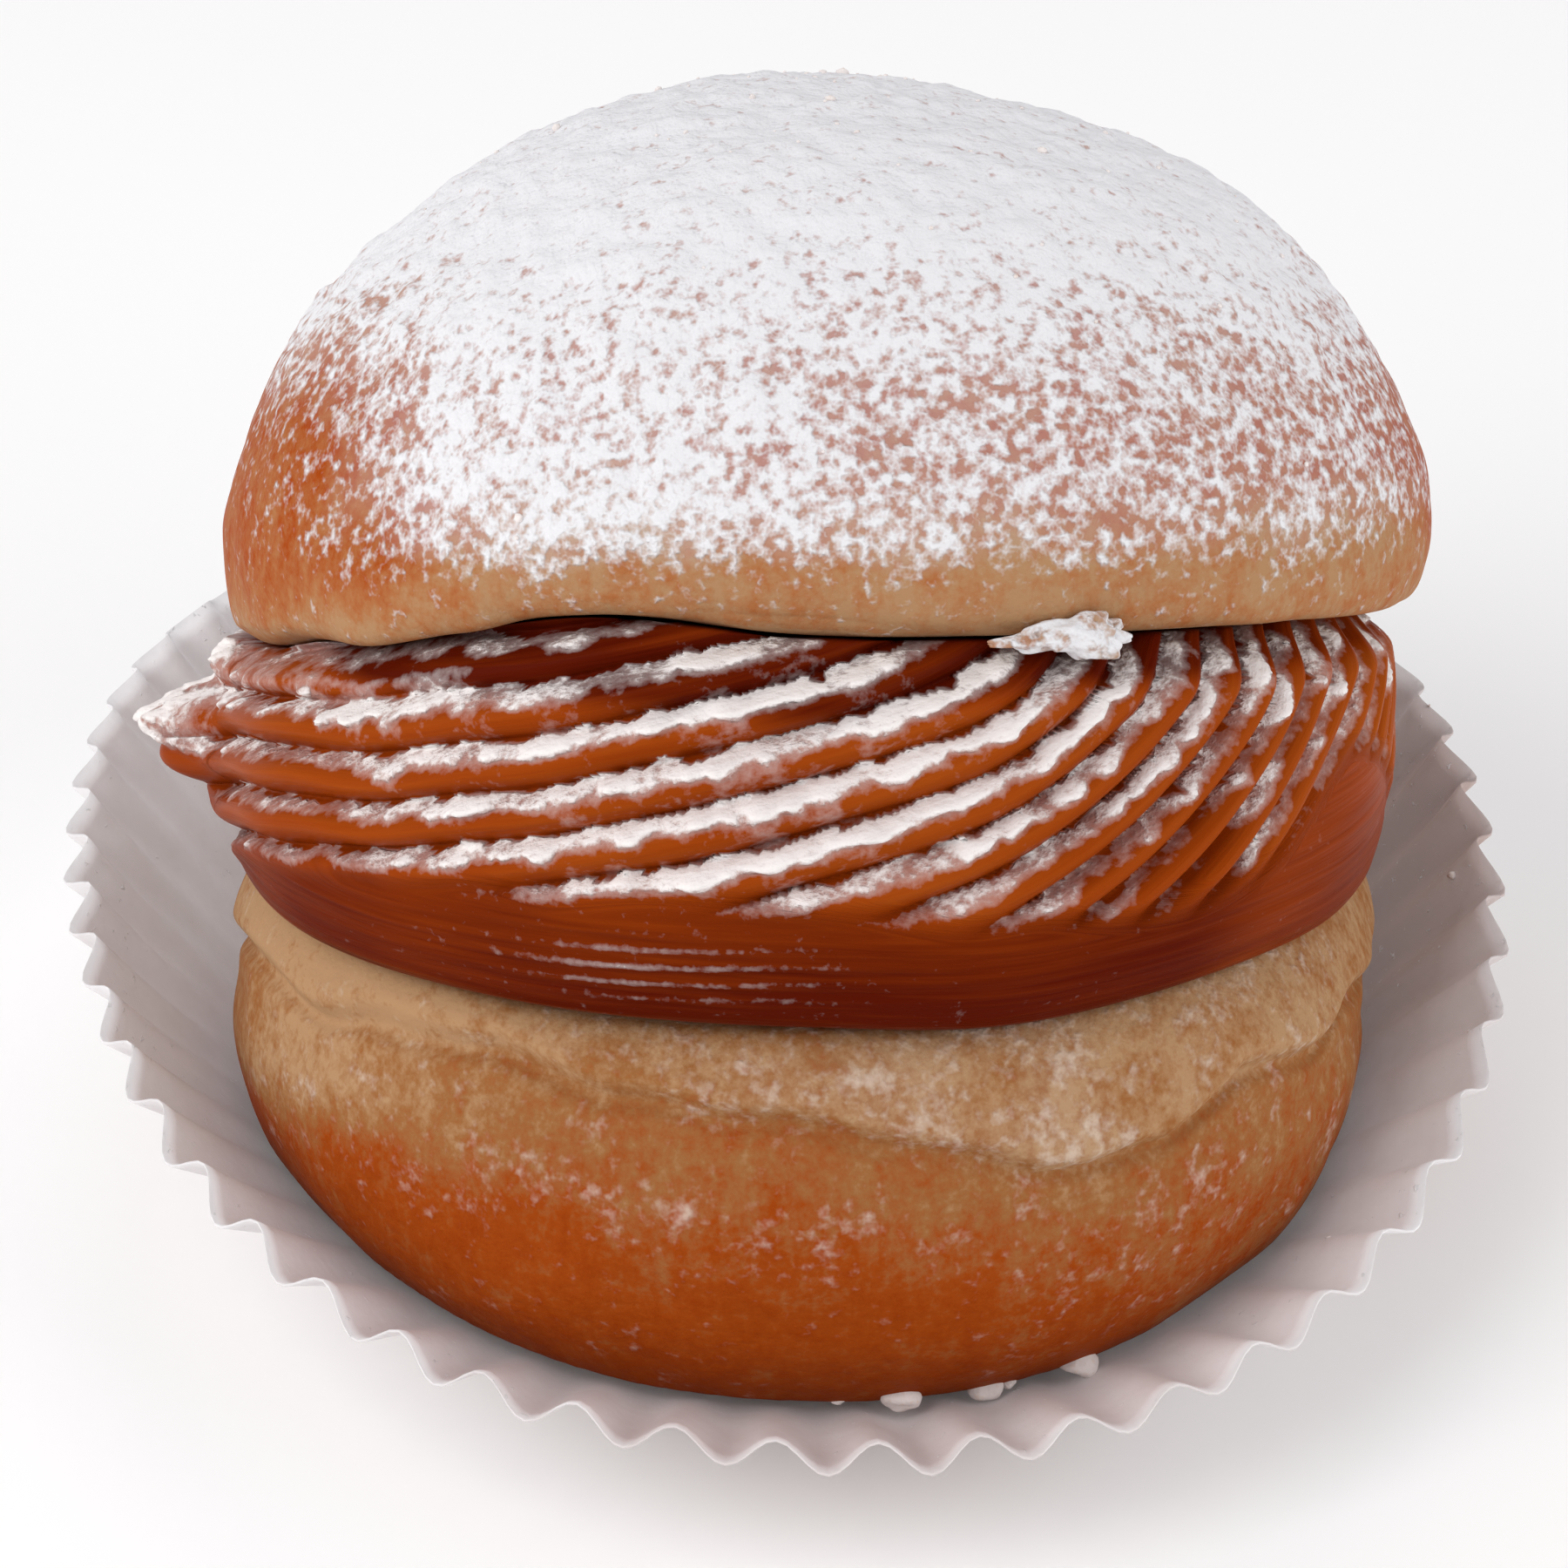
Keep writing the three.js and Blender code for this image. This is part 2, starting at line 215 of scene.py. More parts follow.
@dataclass(frozen=True)
class Dusting:
    """Icing sugar sieved over another surface."""

    # Fine ground sugar lies as dull white clumps that break up into specks, and between them as
    # a faint veil. Single grains are too fine to show, so the specks are drawn coarser.
    sugar: str = "#dedddf"
    grain: float = 0.9
    grain_weight: float = 2.0
    grain_detail: float = 2.0
    clump: float = 2.4
    clump_weight: float = 0.9
    clump_detail: float = 2.0
    breakup: float = 0.6
    white_start: float = 0.14
    white_full: float = 0.92
    opacity: float = 1.0
    veil: float = 0.4
    veil_start: float = 0.25
    veil_full: float = 1.0
    veil_follows_specks: bool = False
    roughness: float = 0.92
    relief: float = 0.16
    relief_strength: float = 0.9
    specular: float = 0.05
    ior: float = 1.2

    def lay(self, tree: Tree, colour: Socket, roughness: float, normal: Socket) -> None:
        """Sieves the sugar over a bare surface and completes the material.

        Args:
            tree: The material's nodes.
            colour: Colour of the bare surface.
            roughness: Its roughness.
            normal: Its normal, with its own relief.
        """
        place = add(tree, "ShaderNodeTexCoord").outputs["Object"]
        sugar = add(tree, "ShaderNodeAttribute", attribute_name=Note.SUGAR.value).outputs["Fac"]
        # The specks add to the noted sugar as much as they take from it
        specks = -0.5 * (self.grain_weight + self.clump_weight)
        for size, weight, detail in (
            (self.grain, self.grain_weight, self.grain_detail),
            (self.clump, self.clump_weight, self.clump_detail),
        ):
            inputs = {"Vector": place, "Scale": per_metre(size), "Detail": detail, "Roughness": self.breakup}
            noise = add(tree, "ShaderNodeTexNoise", inputs).outputs["Fac"]
            inputs = {0: noise, 1: weight, 2: specks}
            specks = add(tree, "ShaderNodeMath", inputs, operation="MULTIPLY_ADD").outputs[0]
        cover = add(tree, "ShaderNodeMath", {0: sugar, 1: specks}, operation="ADD").outputs[0]
        inputs = {"Value": cover, "From Min": self.white_start, "From Max": self.white_full}
        inputs["To Max"] = self.opacity
        white = add(tree, "ShaderNodeMapRange", inputs, interpolation_type="SMOOTHSTEP").outputs["Result"]
        inputs = {"Value": cover if self.veil_follows_specks else sugar}
        inputs |= {"From Min": self.veil_start, "From Max": self.veil_full, "To Max": self.veil}
        veil = add(tree, "ShaderNodeMapRange", inputs).outputs["Result"]
        shown = add(tree, "ShaderNodeMath", {0: white, 1: veil}, operation="MAXIMUM").outputs[0]
        inputs = {0: shown, 6: colour, 7: linear(self.sugar)}
        base = add(tree, "ShaderNodeMix", inputs, data_type="RGBA").outputs[2]
        inputs = {"Value": white, "To Min": roughness, "To Max": self.roughness}
        rough = add(tree, "ShaderNodeMapRange", inputs).outputs["Result"]
        heaped = add(tree, "ShaderNodeMath", {0: white, 1: specks, 2: white}, operation="MULTIPLY_ADD")
        inputs = {"Height": heaped.outputs[0], "Normal": normal}
        inputs |= {"Distance": self.relief * MM, "Strength": self.relief_strength}
        dusted = add(tree, "ShaderNodeBump", inputs).outputs["Normal"]
        inputs = {"Base Color": base, "Roughness": rough, "Normal": dusted}
        inputs |= {"Specular IOR Level": self.specular, "IOR": self.ior}
        shader = add(tree, "ShaderNodeBsdfPrincipled", inputs)
        add(tree, "ShaderNodeOutputMaterial", {"Surface": shader.outputs["BSDF"]})


@dataclass(frozen=True)
class FriedCrust:
    """Fried yeast dough with icing sugar sieved over it."""

    # Hot fat leaves a satin, finely mottled skin that runs from cream, on the band that floated
    # above the fat, to a deep orange brown.
    name: str
    dusting: Dusting = Dusting()
    cream: str = "#a67f5b"
    tan: str = "#a3683f"
    brown: str = "#9a410e"
    deep: str = "#8c3708"
    pore: float = 0.55
    mottle: float = 1.6
    blotch: float = 6.0
    smear: float = 1.3
    smear_length: float = 6.0
    breakup: float = 0.6
    roughness: float = 0.46
    relief: float = 0.4
    relief_strength: float = 0.6

    def make(self) -> bpy.types.Material:
        """Makes the material, which reads how brown and how sugared each point is.

        Returns:
            The material.
        """
        material, tree = empty_material(self.name)
        place = add(tree, "ShaderNodeTexCoord").outputs["Object"]
        drawn_out = (1.0, 1.0, self.smear / self.smear_length)
        upright = add(tree, "ShaderNodeMapping", {"Vector": place, "Scale": drawn_out}).outputs["Vector"]
        browning = add(tree, "ShaderNodeAttribute", attribute_name=Note.BROWNING.value).outputs["Fac"]
        # Browning, uneven in blotches, upright smears of fat, a finer mottle and pores
        noises = {}
        for key, vector, size, detail, strength in (
            ("blotch", place, self.blotch, 3.0, 0.6),
            ("smear", upright, self.smear, 2.0, 0.45),
            ("mottle", place, self.mottle, 4.0, 0.7),
            ("pore", place, self.pore, 2.0, 0.5),
        ):
            inputs = {"Vector": vector, "Scale": per_metre(size)}
            inputs |= {"Detail": detail, "Roughness": self.breakup}
            noises[key] = add(tree, "ShaderNodeTexNoise", inputs).outputs["Fac"]
            centred = add(tree, "ShaderNodeMath", {0: noises[key], 1: -0.5}, operation="ADD").outputs[0]
            inputs = {0: centred, 1: strength, 2: browning}
            browning = add(tree, "ShaderNodeMath", inputs, operation="MULTIPLY_ADD").outputs[0]
        steps = ((0.05, 0.36, self.tan), (0.36, 0.80, self.brown), (0.80, 1.1, self.deep))
        colour = run_of_tones(tree, browning, self.cream, steps)
        inputs = {"Height": noises["mottle"], "Distance": self.relief * MM, "Strength": self.relief_strength}
        skin = add(tree, "ShaderNodeBump", inputs).outputs["Normal"]
        self.dusting.lay(tree, colour, self.roughness, skin)
        return material


@dataclass(frozen=True)
class MilkCaramel:
    """Boiled milk caramel, piped through a star nozzle and dusted with icing sugar."""

    # Boiled sugar and milk set to a dense paste: a glossy red brown, painted lighter orange on the
    # crests and darker with painted shade under the lip and at the foot, finely streaked along the way
    # that it was piped, white where sugar caught on it, with pale lines of painted highlight on the foot.
    name: str = "boiled_milk_caramel_piped_and_sugared"
    light: str = "#a04c14"
    middle: str = "#8c3708"
    dark: str = "#521203"
    streak: float = 0.6
    streak_length: float = 14.0
    streak_strength: float = 0.4
    streak_detail: float = 3.0
    breakup: float = 0.55
    roughness: float = 0.30
    relief: float = 0.24
    relief_strength: float = 0.6
    dusting: Dusting = Dusting(
        sugar="#e9e3e0",
        grain=0.7,
        grain_weight=1.1,
        grain_detail=3.0,
        clump=1.9,
        clump_weight=0.5,
        breakup=0.55,
        white_start=0.24,
        white_full=0.88,
        veil=0.3,
        veil_start=-0.1,
        veil_full=0.5,
        veil_follows_specks=True,
        relief=0.20,
    )

    def make(self) -> bpy.types.Material:
        """Makes the material, which reads the sugar, the shade and the way of the strands.

        Returns:
            The material.
        """
        material, tree = empty_material(self.name)
        strand = add(tree, "ShaderNodeAttribute", attribute_name=Note.STRAND.value).outputs["Vector"]
        shade = add(tree, "ShaderNodeAttribute", attribute_name=Note.SHADE.value).outputs["Fac"]
        drawn_out = (self.streak / self.streak_length, 1.0, 1.0)
        stretched = add(tree, "ShaderNodeMapping", {"Vector": strand, "Scale": drawn_out}).outputs["Vector"]
        inputs = {"Vector": stretched, "Scale": per_metre(self.streak)}
        inputs |= {"Detail": self.streak_detail, "Roughness": self.breakup}
        streak = add(tree, "ShaderNodeTexNoise", inputs).outputs["Fac"]
        # Painted light on the crests, painted shade at the smooth foot and under the lip
        inputs = {0: streak, 1: self.streak_strength, 2: -self.streak_strength / 2}
        streaky = add(tree, "ShaderNodeMath", inputs, operation="MULTIPLY_ADD").outputs[0]
        toned = add(tree, "ShaderNodeMath", {0: shade, 1: streaky}, operation="ADD").outputs[0]
        colour = run_of_tones(tree, toned, self.dark, ((0.0, 0.5, self.middle), (0.5, 1.0, self.light)))
        inputs = {"Height": streak, "Distance": self.relief * MM, "Strength": self.relief_strength}
        combed = add(tree, "ShaderNodeBump", inputs).outputs["Normal"]
        self.dusting.lay(tree, colour, self.roughness, combed)
        return material


@dataclass(frozen=True)
class IcingSugar:
    """Icing sugar, caked in crumbs."""

    # Fine ground sugar that has drawn damp and caked: dull, very white and softly grained.
    name: str = "icing_sugar_caked_crumbs"
    white: str = "#e6deda"
    cream: str = "#dcc8ba"
    cream_start: float = 0.55
    cream_full: float = 0.8
    grain: float = 0.5
    grain_detail: float = 2.0
    roughness: float = 0.92
    relief: float = 0.2
    relief_strength: float = 0.7

    def make(self) -> bpy.types.Material:
        """Makes the material of the loose crumbs.

        Returns:
            The material.
        """
        material, tree = empty_material(self.name)
        place = add(tree, "ShaderNodeTexCoord").outputs["Object"]
        inputs = {"Vector": place, "Scale": per_metre(self.grain), "Detail": self.grain_detail}
        grain = add(tree, "ShaderNodeTexNoise", inputs).outputs["Fac"]
        base = run_of_tones(tree, grain, self.white, ((self.cream_start, self.cream_full, self.cream),))
        inputs = {"Height": grain, "Distance": self.relief * MM, "Strength": self.relief_strength}
        bump = add(tree, "ShaderNodeBump", inputs).outputs["Normal"]
        inputs = {"Base Color": base, "Roughness": self.roughness, "Normal": bump}
        shader = add(tree, "ShaderNodeBsdfPrincipled", inputs)
        add(tree, "ShaderNodeOutputMaterial", {"Surface": shader.outputs["BSDF"]})
        return material


@dataclass(frozen=True)
class CasePaper:
    """Thin bleached greaseproof paper, pressed into flutes."""

    # Thin pressed paper: matt grey white, faintly clouded by its fibres, darker and warmer with
    # painted shade near the bun and on the front and right, a little see-through, with a dust of sugar.
    name: str = "greaseproof_paper_pressed_in_flutes"
    sheet: str = "#e8e5e6"
    # Colour of the painted shade
    shaded_sheet: str = "#b09992"
    sugar: str = "#efedee"
    fibre: float = 0.9
    fibre_relief: float = 0.08
    fibre_strength: float = 0.5
    cloud: float = 7.0
    cloud_strength: float = 0.6
    dust: float = 0.8
    dust_strength: float = 1.6
    dust_start: float = 0.42
    dust_full: float = 0.62
    dust_relief: float = 0.15
    dust_relief_strength: float = 0.8
    detail: float = 3.0
    breakup: float = 0.6
    roughness: float = 0.72
    specular: float = 0.3
    see_through: float = 0.2
    see_through_depth: float = 3.0

    def make(self) -> bpy.types.Material:
        """Makes the material, which reads the painted shade and how dusted the paper is.

        Returns:
            The material.
        """
        material, tree = empty_material(self.name)
        place = add(tree, "ShaderNodeTexCoord").outputs["Object"]
        noises = {}
        for key, size in (("fibre", self.fibre), ("cloud", self.cloud), ("dust", self.dust)):
            inputs = {"Vector": place, "Scale": per_metre(size)}
            inputs |= {"Detail": self.detail, "Roughness": self.breakup}
            noises[key] = add(tree, "ShaderNodeTexNoise", inputs).outputs["Fac"]
        # Painted shade and sugar as noted, with an uneven edge
        uneven = {}
        for note, key, strength in (
            (Note.SHADE, "cloud", self.cloud_strength),
            (Note.SUGAR, "dust", self.dust_strength),
        ):
            noted = add(tree, "ShaderNodeAttribute", attribute_name=note.value).outputs["Fac"]
            inputs = {0: noises[key], 1: strength, 2: -strength / 2}
            spread = add(tree, "ShaderNodeMath", inputs, operation="MULTIPLY_ADD").outputs[0]
            inputs = {0: noted, 1: spread}
            uneven[note] = add(tree, "ShaderNodeMath", inputs, operation="ADD", use_clamp=True).outputs[0]
        # Painted shade darkens and warms the sheet
        inputs = {0: uneven[Note.SHADE], 6: linear(self.sheet), 7: linear(self.shaded_sheet)}
        sheet = add(tree, "ShaderNodeMix", inputs, data_type="RGBA").outputs[2]
        inputs = {"Value": uneven[Note.SUGAR], "From Min": self.dust_start, "From Max": self.dust_full}
        white = add(tree, "ShaderNodeMapRange", inputs, interpolation_type="SMOOTHSTEP").outputs["Result"]
        inputs = {0: white, 6: sheet, 7: linear(self.sugar)}
        base = add(tree, "ShaderNodeMix", inputs, data_type="RGBA").outputs[2]
        inputs = {"Height": noises["fibre"], "Distance": self.fibre_relief * MM}
        inputs["Strength"] = self.fibre_strength
        fibres = add(tree, "ShaderNodeBump", inputs).outputs["Normal"]
        inputs = {"Height": white, "Distance": self.dust_relief * MM, "Normal": fibres}
        inputs["Strength"] = self.dust_relief_strength
        dusted = add(tree, "ShaderNodeBump", inputs).outputs["Normal"]
        inputs = {"Base Color": base, "Roughness": self.roughness, "Normal": dusted}
        inputs |= {"Specular IOR Level": self.specular, "Subsurface Weight": self.see_through}
        inputs |= {"Subsurface Radius": (1.0, 1.0, 1.0), "Subsurface Scale": self.see_through_depth * MM}
        shader = add(tree, "ShaderNodeBsdfPrincipled", inputs)
        add(tree, "ShaderNodeOutputMaterial", {"Surface": shader.outputs["BSDF"]})
        return material


@dataclass(frozen=True)
class StudioPaint:
    """Matt white paint on the studio floor."""

    # Flat emulsion: an even, very pale surface with hardly any shine.
    name: str = "matt_white_emulsion_rolled"
    white: str = "#f7f6f5"
    nap: float = 3.0
    nap_relief: float = 0.05
    nap_strength: float = 0.2
    roughness: float = 0.9

    def make(self) -> bpy.types.Material:
        """Makes the floor's material.

        Returns:
            The material.
        """
        material, tree = empty_material(self.name)
        place = add(tree, "ShaderNodeTexCoord").outputs["Object"]
        nap = add(tree, "ShaderNodeTexNoise", {"Vector": place, "Scale": per_metre(self.nap)}).outputs["Fac"]
        inputs = {"Height": nap, "Distance": self.nap_relief * MM, "Strength": self.nap_strength}
        bump = add(tree, "ShaderNodeBump", inputs).outputs["Normal"]
        inputs = {"Base Color": linear(self.white), "Roughness": self.roughness, "Normal": bump}
        shader = add(tree, "ShaderNodeBsdfPrincipled", inputs)
        add(tree, "ShaderNodeOutputMaterial", {"Surface": shader.outputs["BSDF"]})
        return material


@dataclass(frozen=True)
class Pose:
    """A frame that leans back about X, set off from the frame that it stands in."""

    offset: Place
    lean: float
    around: "Pose | None" = None

    def out(self, points: Points) -> Points:
        """Moves points from this frame to the row's.

        Args:
            points: Points in this frame.

        Returns:
            The same points in the row's frame.
        """
        sine = math.sin(math.radians(self.lean))
        cosine = math.cos(math.radians(self.lean))
        turn = np.array([[1, 0, 0], [0, cosine, sine], [0, -sine, cosine]])
        moved = points @ turn.T + np.array(self.offset)
        return moved if self.around is None else self.around.out(moved)


class Skin:
    """A mesh in the making, with its points as an array in millimetres."""

    def __init__(self, name: str, shape: bmesh.types.BMesh) -> None:
        """Takes over a bmesh, which it frees.

        Args:
            name: Name of the piece.
            shape: The bmesh, in any unit.
        """
        self.name = name
        self.mesh = bpy.data.meshes.new(name)
        shape.to_mesh(self.mesh)
        shape.free()
        self.mesh.polygons.foreach_set("use_smooth", np.ones(len(self.mesh.polygons), bool))

    def read(self, vector: str) -> Points:
        """Reads one of the mesh's own vectors at each point.

        Args:
            vector: Blender's name for it.

        Returns:
            The vectors as rows.
        """
        flat = np.empty(3 * len(self.mesh.vertices), np.float32)
        self.mesh.vertices.foreach_get(vector, flat)
        return flat.reshape(-1, 3).astype(float)

    def points(self) -> Points:
        """Points of the mesh as rows."""
        return self.read("co")

    def normals(self) -> Points:
        """Normals of the mesh at its points, pointing outwards."""
        return self.read("normal")

    def move(self, points: Points) -> None:
        """Puts the points of the mesh elsewhere."""
        self.mesh.vertices.foreach_set("co", points.astype(np.float32).ravel())
        self.mesh.update()

    def note(self, note: Note, values: Field) -> None:
        """Notes a number or a vector at each point for the material.

        Args:
            note: What is noted.
            values: One value, or one row of three, for each point.
        """
        if values.ndim == 1:
            attribute = self.mesh.attributes.new(note.value, "FLOAT", "POINT")
            attribute.data.foreach_set("value", values.astype(np.float32))
        else:
            attribute = self.mesh.attributes.new(note.value, "FLOAT_VECTOR", "POINT")
            attribute.data.foreach_set("vector", values.astype(np.float32).ravel())

    def noted(self, note: Note) -> Field:
        """Reads the number that was noted at each point.

        Args:
            note: What was noted.

        Returns:
            The numbers.
        """
        values = np.empty(len(self.mesh.vertices), np.float32)
        self.mesh.attributes[note.value].data.foreach_get("value", values)
        return values.astype(float)

    def finish(
        self, material: bpy.types.Material, slot: str, stands_for: str | None = None
    ) -> bpy.types.Object:
        """Turns the mesh to metres and makes it a piece of the doughnut.

        Args:
            material: Its finish.
            slot: Name of a material slot; not used.
            stands_for: The CAD node that it takes the place of, if any.

        Returns:
            The piece.
        """
        self.move(self.points() * MM)
        self.mesh.materials.append(material)
        piece = bpy.data.objects.new(self.name, self.mesh)
        bpy.context.scene.collection.objects.link(piece)
        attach(piece, "root")
        if stands_for:
            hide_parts(stands_for)
        return piece


def on_ball(latitude: Field, angle: Field) -> Points:
    """Points of a unit ball.

    Args:
        latitude: Degrees above the widest line.
        angle: Degrees round from the front.

    Returns:
        The points.
    """
    spread = np.cos(np.radians(latitude))
    x = spread * np.sin(np.radians(angle))
    y = -spread * np.cos(np.radians(angle))
    return np.column_stack([x, y, np.sin(np.radians(latitude))])


def latitude_and_angle(points: Points) -> tuple[Field, Field]:
    """Degrees above the widest line of a ball, and degrees round it from the front.

    Args:
        points: Points on a unit ball.

    Returns:
        The latitudes and the angles.
    """
    latitude = np.degrees(np.arctan2(points[:, 2], np.hypot(points[:, 0], points[:, 1])))
    angle = np.degrees(np.arctan2(points[:, 0], -points[:, 1]))
    return latitude, angle


def ball(columns: int, rows: int) -> bmesh.types.BMesh:
    """Rolls a grid up into a unit ball, with its seam and poles merged.

    Args:
        columns: Columns round it.
        rows: Rows from pole to pole.

    Returns:
        The ball, with its front towards -Y.
    """
    shape = bmesh.new()
    bmesh.ops.create_grid(shape, x_segments=columns, y_segments=rows, size=1.0)
    flat = np.array([vert.co for vert in shape.verts])
    for vert, place in zip(shape.verts, on_ball(90 * flat[:, 1], 180 * flat[:, 0])):
        vert.co = place
    bmesh.ops.remove_doubles(shape, verts=shape.verts, dist=1e-6)
    return shape


@dataclass
class PaperCase:
    """Fluted paper case, flared more at the front."""

    centre: tuple[float, float] = (-0.23, 3.04)
    base_radius: float = 36.0
    wall: float = 30.6
    slope_front: float = 26.8
    slope_sides: float = 25.0
    slope_sides_power: float = 2.7
    slope_back: float = 20.3
    slope_back_power: float = 4.0
    twist: float = 5.0
    flutes: int = 55
    flute_depth: float = 2.2
    flute_variety: float = 0.25
    flute_shift: float = 0.35
    rim_radius: float = 60.0
    rim_wave: float = 0.5
    paper: float = 0.25
    lift: float = 0.25
    steps_a_flute: int = 10
    base_rings: int = 6
    wall_rings: int = 18
    # Painted shade on the paper: how much, and for a patch how many radians round and how wide too
    base_shade: float = 0.3
    shade_patches: tuple[Place, ...] = ((0.46, 0.1, 0.6), (0.14, -1.1, 0.5))
    right_shadow: Place = (1.4, 1.55, 0.38)
    right_shadow_fading: float = 0.4
    dust: float = 0.16
    dust_variety: float = 0.1

    def slope(self, angle: Field) -> Field:
        """Slope of the wall.

        Args:
            angle: Radians round from the front.

        Returns:
            The slope above level, in radians.
        """
        sides = self.slope_sides * np.abs(np.sin(angle)) ** self.slope_sides_power
        back = self.slope_back * ((1 - np.cos(angle)) / 2) ** self.slope_back_power
        return np.radians(self.slope_front + sides + back - self.twist * np.sin(2 * angle))

    def plan(self, points: Points) -> tuple[Field, Field]:
        """Where points lie in plan.

        Args:
            points: Points in the row's frame.

        Returns:
            How far out of the flat base they are, and their radians round from the front.
        """
        dx = points[:, 0] - self.centre[0]
        dy = points[:, 1] - self.centre[1]
        return np.hypot(dx, dy) - self.base_radius, np.arctan2(dx, -dy)

    def height(self, points: Points) -> Field:
        """Height of the flutes' crests over points of the plan.

        Args:
            points: Points in the row's frame.

        Returns:
            The heights.
        """
        reach, angle = self.plan(points)
        slope = self.slope(angle)
        climbed = np.maximum(0, reach) / np.cos(slope)
        crest = self.flute_depth / 2 * climbed / self.wall
        return self.lift + self.paper + climbed * np.sin(slope) + crest / np.cos(slope)

    def flat_sheet(self) -> bmesh.types.BMesh:
        """Flat round sheet of paper in rings, spun from one line out of its middle.

        Returns:
            The sheet, with its points at their distance along the paper from the middle.
        """
        shape = bmesh.new()
        base = np.linspace(0, self.base_radius, self.base_rings + 1)
        wall = self.base_radius + np.linspace(0, self.wall, self.wall_rings + 1)
        line = [shape.verts.new((0, -radius, 0)) for radius in np.append(base, wall[1:])]
        edges = [shape.edges.new(pair) for pair in itertools.pairwise(line)]
        bmesh.ops.spin(
            shape,
            geom=line + edges,
            cent=(0, 0, 0),
            axis=(0, 0, 1),
            angle=2 * math.pi,
            steps=self.flutes * self.steps_a_flute,
            use_merge=True,
        )
        bmesh.ops.remove_doubles(shape, verts=shape.verts, dist=1e-4)
        bmesh.ops.recalc_face_normals(shape, faces=shape.faces)
        if next(iter(shape.faces)).normal.z < 0:
            bmesh.ops.reverse_faces(shape, faces=shape.faces)
        return shape

    def build(self) -> Skin:
        """Presses the sheet into the case and gives the paper its thickness.

        Returns:
            The case, with its painted shade and its sugar noted.
        """
        shape = self.flat_sheet()
        flat = np.array([vert.co for vert in shape.verts])
        reach = np.hypot(flat[:, 0], flat[:, 1])
        angle = np.arctan2(flat[:, 0], -flat[:, 1])
        up = np.maximum(0, reach - self.base_radius) / self.wall
        slope = self.slope(angle)
        rim = self.rim_radius * np.column_stack([np.sin(angle), np.cos(angle), 0 * angle])
        flute = np.cos(self.flutes * angle + self.flute_shift * lumps(rim, 11, 4))
        swing = self.flute_depth / 2 * up**3 * flute * (1 + self.flute_variety * lumps(rim, 9, 3))
        radius = np.minimum(reach, self.base_radius) + up * self.wall * np.cos(slope) - swing * np.sin(slope)
        height = self.lift + up * self.wall * np.sin(slope) + swing * np.cos(slope)
        height += self.rim_wave * up * lumps(rim, 17, 5)
        for vert, across, rise, turn in zip(shape.verts, radius, height, angle):
            vert.co.x = self.centre[0] + across * math.sin(turn)
            vert.co.y = self.centre[1] - across * math.cos(turn)
            vert.co.z = rise
        bmesh.ops.solidify(shape, geom=shape.faces, thickness=self.paper)
        skin = Skin("paper_case_fluted", shape)
        self.note_shade_and_dust(skin)
        return skin

    def note_shade_and_dust(self, skin: Skin) -> None:
        """Notes painted shade near the bun and in patches round the case, and where sugar fell on it.

        Args:
            skin: The case.
        """
        points = skin.points()
        reach, angle = self.plan(points)
        # Painted shade near the bun, then in patches round the case
        painted_shade = self.base_shade * (1 - smoothstep(reach + 3 * lumps(points, 8, 6), 2, 15))
        for strength, middle, width in self.shade_patches:
            painted_shade += strength * mound(angle, middle, width)
        # The painted shadow on the right fades towards the rim
        strength, middle, width = self.right_shadow
        fading = 1 - self.right_shadow_fading * smoothstep(reach, 15, 20)
        painted_shade += strength * mound(angle, middle, width) * fading
        skin.note(Note.SHADE, painted_shade)
        skin.note(Note.SUGAR, self.dust + self.dust_variety * lumps(points, 12, 7))


